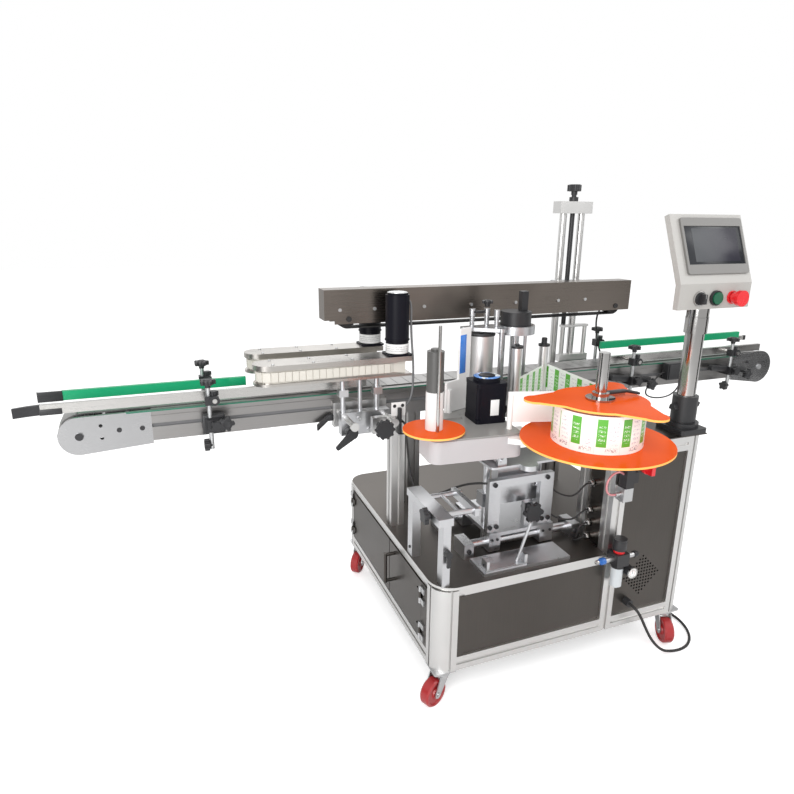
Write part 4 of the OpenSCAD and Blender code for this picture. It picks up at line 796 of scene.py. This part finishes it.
# Operator screen and its buttons; the panel leans back from a knee above the buttons.
panel = {
    "knee": (639.5, -24, 1071),  # the left end of the knee
    "lean": 21.8,
    "sheets": [  # name, across and up from the knee, back, front, finish
        ("touchGlass", (7.4, 192.6), (47.4, 144.6), 4.0, 4.4, "darkGlass"),
        ("touchDisplay", (31, 178), (54, 139), 4.4, 4.7, "displayFilm")],
    "collars": [  # name, x, radius, height, wall, finish
        ("selectorCollar", 678, 18.6, 5.2, 3.2, "polishedSteel"),
        ("startCollar", 731, 18.8, 7.5, 3.4, "blackPlastic"),
        ("stopCollar", 787, 16.5, 4.5, 2.6, "redPlastic")],
    "collarFloor": 0.7,
    "buttons": 1035,
}
kneeX, kneeY, kneeZ = panel["knee"]
for name, (x0, x1), (z0, z1), back, ahead, finish in panel["sheets"]:
    sheet = block(name, (kneeX + x0, kneeY - ahead, kneeZ + z0), (kneeX + x1, kneeY - back, kneeZ + z1), 0.2)
    seat(turnAbout(sheet, panel["knee"], math.radians(-panel["lean"]), "X"), "console", finish)
for name, x, radius, height, wall, finish in panel["collars"]:
    ring = turned(name, radius, height, ((wall, -(height - panel["collarFloor"])),), 0.4, 48)
    seat(move(ring, (x, kneeY, panel["buttons"]), front), "console", finish)
seat(block("selectorPointer", (676.8, -46.5, 1037), (679.2, -45.9, 1046), 0.1), "selector", "polishedSteel")
print("console dressed")

# Name bands of the two gear motors, left without words, and the discs on their end caps.
motorDress = {
    "bandRadius": 33.5, "bandHeight": 27, "bandFoot": 848.5, "capRadius": 29, "capHeight": 1.6, "capFoot": 1018,
    "places": [("frontBand", "front_guide", 62, 446), ("rearBand", "rear_guide", 37, 615)],
}
for name, body, x, y in motorDress["places"]:
    band = turned(name, motorDress["bandRadius"], motorDress["bandHeight"], (), 0.2, 64)
    seat(move(band, (x, y, motorDress["bandFoot"])), body, "motorBand")
    cap = turned(name + "Cap", motorDress["capRadius"], motorDress["capHeight"], ((3, 1.2), (12, -0.8)), 0.3, 48)
    seat(move(cap, (x, y, motorDress["capFoot"])), body, "zincSteel")

# Protective film and sticker on the stepper motor, and film left on the peel plate. They are made
# square to the cabinet, from its corner, and turned with what they lie on.
headTurn = {"angle": math.radians(-4.8), "place": (17, 92, 0)}
peelTurn = {"angle": math.atan2(44, 91), "place": (140, 285, 0)}


def turnWith(piece, turn):
    return turnAbout(piece, (0, 0, 0), turn["angle"], "Z", turn["place"])


film = move(turned("motorFilm", 35.4, 0.5, ((8, 0.15),), 0.1, 64), (199, 135, 820))
seat(turnWith(film, headTurn), "head", "capFilm")
for name, low, high, edge, turn, finish in (
        ("motorSticker", (194, 91.6, 722), (218, 92.1, 765), 0.1, headTurn, "motorBand"),
        ("motorPlug", (243, 122, 718), (262, 136, 734), 1.5, headTurn, "blackPlastic"),
        ("plateFilm", (53, -8.5, 806), (80, -8.1, 914), 0.1, peelTurn, "blueFilm")):
    seat(turnWith(block(name, low, high, edge), turn), "head", finish)
print("films and stickers on")

# Star knobs on the rail posts and the press head, and the long clamp arms under the rail posts.
knobLook = {"radius": 21, "lobes": 5, "height": 13}
pressKnobLook = {"radius": 17, "lobes": 6, "height": 9}
knobShape = {
    "hub": 0.72, "lobe": 0.26, "ring": 0.76,  # shares of the radius; the lobes stand on the ring
    "stemRadius": 7.5, "stemHeight": 9, "stemFoot": -8.5,
}


def starKnob(name, look):
    radius, height = look["radius"], look["height"]
    hub = turned(name, radius * knobShape["hub"], height, ((4, 1.5), (2.5, -1.2)), 0.8, 30)
    lobes = []
    for n in range(look["lobes"]):
        lobe = turned(name + "Lobe" + str(n), radius * knobShape["lobe"], height - 2, ((1.2, 0.8),), 0.8, 16)
        angle = 2 * math.pi * n / look["lobes"]
        outwards = Vector((math.cos(angle), math.sin(angle), 0)) * radius * knobShape["ring"] * mm
        lobe.matrix_world = Matrix.Translation(outwards + Vector((0, 0, mm)))
        lobes.append(applyPlace(lobe))
    stem = turned(name + "Stem", knobShape["stemRadius"], knobShape["stemHeight"], (), 0.5, 24)
    stem.matrix_world = Matrix.Translation((0, 0, knobShape["stemFoot"] * mm))
    return joined([hub, applyPlace(stem)] + lobes, name)


knob = starKnob("knobModel", knobLook)
postTops = [(x - 14, 436, 800) for x in bracketX] + [(-469, 634, 807), (921, 634, 830), (1371, 634, 830)]
armEnds = [(x + 62, 424, 676) for x in bracketX[1:]] + [(-430, 424, 694)]
seat(scattered(knob, "railKnobs", postTops, above), "machine")
seat(scattered(knob, "armKnobs", armEnds, front), "machine")
discard(knob)
seat(move(starKnob("pressKnob", pressKnobLook), (306, 366, 988)), "head")
seat(shaped(block("pressLever", (262, 361, 962), (304, 371, 969), 1.5), left, ("resize", (1, 0.7, 0.7))), "head")
for number, x in enumerate(bracketX[1:]):
    arm = block("clampArm" + str(number), (x - 100, 434, 684), (x + 74, 456, 704), 3)
    arm = shaped(arm, left, ("resize", (1, 0.8, 0.6)))
    seat(turnAbout(arm, (x, 445, 694), math.radians(7), "Y"), "machine")
grip = block("clampGrip", (-489, 434, 664), (-431, 460, 716), 4)
seat(shaped(grip, front, ("inset", 5), ("extrude", (0, -5, 0))), "machine")

# Ends, joints and inner bar of the rails, and the wear strips along the chain.
tip = block("farRailTip", (-884, 576, 751), (-824, 582, 778), 1)
seat(shaped(tip, left, ("shift", (0, 12, 0))), "rail_rear")
railBars = [  # name, low, high, edge, body, finish
    ("farRailInner", (-402, 578.2, 752), (-353, 589.8, 777), 0.6, "rail_rear", "greenRail"),
    ("farRailBar", (1524, 589.6, 763), (1616, 596, 780), 0.8, "rail_rear", "railSteel"),
    ("farRailEnd", (1606, 588.8, 762.4), (1618, 596.8, 780.6), 0.8, "rail_rear", "blackPlastic"),
    ("frontRailJoint", (-866, 477.5, 744), (-816, 481, 759), 0.8, "rail_front", "blackPlastic"),
    ("stripFront", (-672, 468.9, 731), (1440, 470.6, 734.6), 0.3, "machine", "stripGreen"),
    ("stripRear", (-672, 599.4, 731), (1440, 601.1, 734.6), 0.3, "machine", "stripGreen"),
]
for name, low, high, edge, body, finish in railBars:
    seat(block(name, low, high, edge), body, finish)
print("rail fittings on")

# Sensor on the conveyor's side, sensor plate by the guide, and the levers of plate, guide and reel.
sensor = block("bottleSensor", (1085, 440, 676), (1170, 469.6, 736), 2.5)
seat(shaped(sensor, front, ("inset", 4), ("extrude", (0, -3, 0))), "machine")
seat(block("sensorPlate", (10, 350.4, 686), (52, 353.4, 726), 0.6), "machine", "sleeveWhite")
hole = turned("holeModel", 5, 0.8, ((1.2, -0.4),), 0.1, 24)
seat(scattered(hole, "sensorHoles", [(19, 350.5, 716), (43, 350.5, 716)], front), "machine")
discard(hole)
lever = block("sensorLever", (27, 338, 634), (37, 350.6, 712), 2)
seat(shaped(lever, below, ("shift", (16, -4, 0))), "machine")
lever = block("guideLever", (-145, 449, 659), (-130.2, 463, 677), 2)
seat(softenEdges(shaped(lever, left, ("extrude", (-34, -8, -25))), 1), "machine")
lever = block("reelLever", (404, -54, 821), (462, -40, 829), 2.5)
seat(softenEdges(shaped(lever, right, ("extrude", (34, -8, -7))), 1), "reel")

# The air unit's fittings and gauge, and the nuts of the cable glands.
airFittings = [  # name, place, axis, radius, height, steps, finish
    ("airInlet", (481, -22, 344), left, 9.5, 12, ((1.5, 3), (2, 4)), "bluePlastic"),
    ("airInletTip", (462, -22, 344), left, 5.2, 9, ((1, 2),), "polishedSteel"),
    ("airOutlet", (577, -22, 344), right, 9, 9, ((1.5, 3), (2, 4)), "blackPlastic"),
    ("knobRidges", (527, -22, 374), above, 18.8, 22, ((2.5, 3), (3, 1.5)), "blackPlastic"),
    ("bowlRing", (527, -22, 317), above, 17.2, 9, (), "blackPlastic"),
    ("gaugeCase", (561, -42, 302), front, 15.8, 4.5, ((1.8, -2.2),), "polishedSteel"),
    ("gaugeFace", (561, -44.1, 302), front, 13.8, 0.5, (), "dialPrint"),
    ("valveRing", (527, -18, 604), above, 11, 6, ((1.5, 3), (4, -1)), "blackPlastic"),
]
for name, place, axis, radius, height, steps, finish in airFittings:
    seat(move(turned(name, radius, height, steps, 0.4, 36), place, axis), "machine", finish)
seat(block("gaugeNeedle", (560.5, -45.1, 300), (561.5, -44.7, 313), 0.1), "machine")
nut = turned("nutModel", 10.5, 7, ((1, 0.8), (4, -0.5)), 0.3, 6)
seat(scattered(nut, "glandNuts", [(493, 72, z) for z in (368, 409, 449, 529)], left), "machine", "polishedSteel")
discard(nut)
print("air fittings on")

# Leads and hoses. Each hangs between its two ends; those that cross a joint become plain meshes on no body.
leads = {
    "motorLead": {"thick": 6.5, "finish": "leadGrey", "body": "front_guide", "route": [
        (94, 446, 996), (101, 446, 990), (104, 445, 970), (104, 444, 930), (105, 440, 880), (107, 434, 830),
        (106, 427, 790), (102, 420, 750), (94, 414, 718), (78, 411, 695), (56, 410, 682), (36, 410, 675),
        (22, 410, 672)]},
    "headLoop": {"thick": 6, "other": "x_carriage", "start": (60, 300, 480), "end": (200, 190, 540), "route": [
        (44, 351, 668), (44, 340, 668), (46, 332, 655), (48, 328, 620), (51, 322, 570), (56, 314, 520),
        (64, 302, 486), (78, 286, 468), (98, 264, 470), (122, 240, 486), (148, 214, 508), (172, 190, 524),
        (192, 166, 534), (206, 150, 538), (213, 149, 539)]},
    "glandLeadTop": {"thick": 5, "other": "x_carriage", "start": (484, 72, 510), "end": (420, 110, 500), "route": [
        (486, 72, 529), (474, 72, 528), (466, 73, 522), (459, 77, 510), (452, 84, 497), (444, 94, 488),
        (434, 108, 485), (424, 120, 487), (416, 130, 492), (410, 137, 498)]},
    "glandLeadMiddle": {"thick": 5, "other": "x_carriage", "start": (484, 72, 449), "end": (420, 110, 420), "route": [
        (486, 72, 449), (474, 72, 448), (464, 74, 441), (457, 79, 430), (451, 88, 420), (444, 99, 414),
        (434, 112, 411), (424, 124, 412), (416, 132, 416), (410, 138, 422)]},
    "glandLeadLow": {"thick": 5, "route": [
        (486, 72, 409), (474, 72, 407), (466, 74, 399), (463, 76, 386), (463, 79, 372), (466, 84, 361),
        (472, 90, 355), (481, 94, 353), (494, 96, 353)]},
    "glandLeadFoot": {"thick": 5, "route": [
        (486, 72, 368), (475, 73, 366), (468, 78, 359), (465, 87, 352), (468, 97, 349), (477, 104, 349),
        (494, 106, 350)]},
    "beamLead": {"thick": 6, "other": "beam", "start": (930, 616, 780), "end": (874, 580, 900), "route": [
        (866, 552, 934), (866, 560, 926), (868, 572, 912), (874, 586, 894), (884, 600, 868), (896, 610, 838),
        (908, 616, 806), (920, 618, 776), (930, 616, 750), (938, 610, 730), (942, 603, 716), (943, 599, 708)]},
    "sensorLead": {"thick": 5, "route": [
        (1086, 452, 704), (1074, 452, 703), (1058, 452, 694), (1040, 452, 678), (1022, 453, 662),
        (1010, 454, 645), (1014, 455, 628), (1036, 456, 616), (1066, 457, 610), (1096, 458, 609),
        (1126, 459, 614), (1150, 461, 626), (1166, 464, 640), (1176, 467, 652), (1180, 471, 662)]},
    "airHose": {"thick": 6, "finish": "pinkTube", "route": [
        (498, -15, 531), (486, -15, 532), (474, -16, 538), (466, -17, 550), (464, -18, 566), (469, -19, 582),
        (480, -20, 593), (494, -20, 597), (506, -19, 594), (515, -18, 588)]},
}
for name, setup in leads.items():
    body, other = setup.get("body", "machine"), setup.get("other")
    piece = lead(name, setup["route"], setup["thick"], setup.get("finish", "blackRubber"), None if other else body)
    line = [tuple(at(*place)) for place in smoothLine(setup["route"], leadSteps)]
    if other:
        selectOnly(piece)
        bpy.ops.object.convert(target="MESH")
        piece = bpy.context.active_object
        tuple(at(*setup["start"]))
        tuple(at(*setup["end"]))
        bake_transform(piece)
print("leads hung,", len(leads))

studio = {
    "floor": (0.90, 0.90, 0.90),
    "floorSize": 30,
    "floorLevel": -0.0005,
    "floorGlow": 0.42,
    "fill": 0.70,
    "lamps": [  # place, aim, size, watts
        ((-1.6, -2.6, 3.4), (0.1, 0, 0.7), 2.2, 62),
        ((-2.6, -2.3, 1.3), (-0.1, 0, 0.5), 1.5, 52),
        ((2.6, -1.8, 2.6), (0.3, 0, 0.7), 1.8, 28),
        ((0.4, 2.6, 3.0), (0.2, 0, 0.9), 2.0, 30),
    ],
    "flags": [((-2.9, -0.6, 0.9), 1.3, 2.0, 90), ((3.0, -1.4, 0.9), 1.1, 2.2, 60)],  # place, wide, tall, turn
}


# The world is white to the camera, in mirrors and through glass, and dimmer as a light.
def buildWorld(look):
    world = bpy.data.worlds.new("studio")
    world.use_nodes = True
    bpy.context.scene.world = world
    back = Term(world.node_tree)
    seen = back.add("LightPath", out="Is Camera Ray").larger(back.add("LightPath", out="Is Glossy Ray"))
    seen = seen.larger(back.add("LightPath", out="Is Transmission Ray"))
    strength = seen * (1 - look["fill"]) + look["fill"]
    background = world.node_tree.nodes["Background"]
    background.inputs["Color"].default_value = (1, 1, 1, 1)
    world.node_tree.links.new(strength.socket, background.inputs["Strength"])


def buildFloor(look):
    bpy.ops.mesh.primitive_plane_add(size=look["floorSize"], location=(0, 0, look["floorLevel"]))
    floor = bpy.context.active_object
    floor.name = "floor"
    material, place = startMaterial("paleFloor")
    floor.data.materials.append(finishMaterial(material, {
        "Base Color": place.noise((3, 3, 3), 3, 0.5).tint(shade(look["floor"], 0.985), look["floor"]),
        "Roughness": 0.8,
        "Emission Color": place.add("LightPath", out="Is Camera Ray").tint((0, 0, 0), (1, 1, 1)),
        "Emission Strength": look["floorGlow"],
    }))


# Soft lamps, and dark flags that only mirrors see, so that metal shows an edge.
def buildLights(look):
    for number, (place, aim, size, watts) in enumerate(look["lamps"]):
        lamp = bpy.data.lights.new("softLamp" + str(number), "AREA")
        lamp.energy = watts
        lamp.size = size
        holder = bpy.data.objects.new(lamp.name, lamp)
        bpy.context.scene.collection.objects.link(holder)
        holder.location = place
        holder.rotation_euler = (Vector(aim) - Vector(place)).to_track_quat("-Z", "Y").to_euler()
    dark = bpy.data.materials.new("darkFlag")
    dark.use_nodes = True
    finishMaterial(dark, {"Base Color": (0.02, 0.02, 0.02), "Roughness": 1.0})
    for number, (place, wide, tall, turn) in enumerate(look["flags"]):
        bpy.ops.mesh.primitive_plane_add(size=1, location=place,
                                         rotation=(math.radians(90), 0, math.radians(turn)))
        flag = bpy.context.active_object
        flag.name = "flag" + str(number)
        flag.scale = (wide, tall, 1)
        flag.data.materials.append(dark)
        flag.visible_camera = flag.visible_diffuse = flag.visible_shadow = False


bpy.context.scene.view_settings.view_transform = "Standard"
buildWorld(studio)
buildFloor(studio)
buildLights(studio)
print("studio ready")
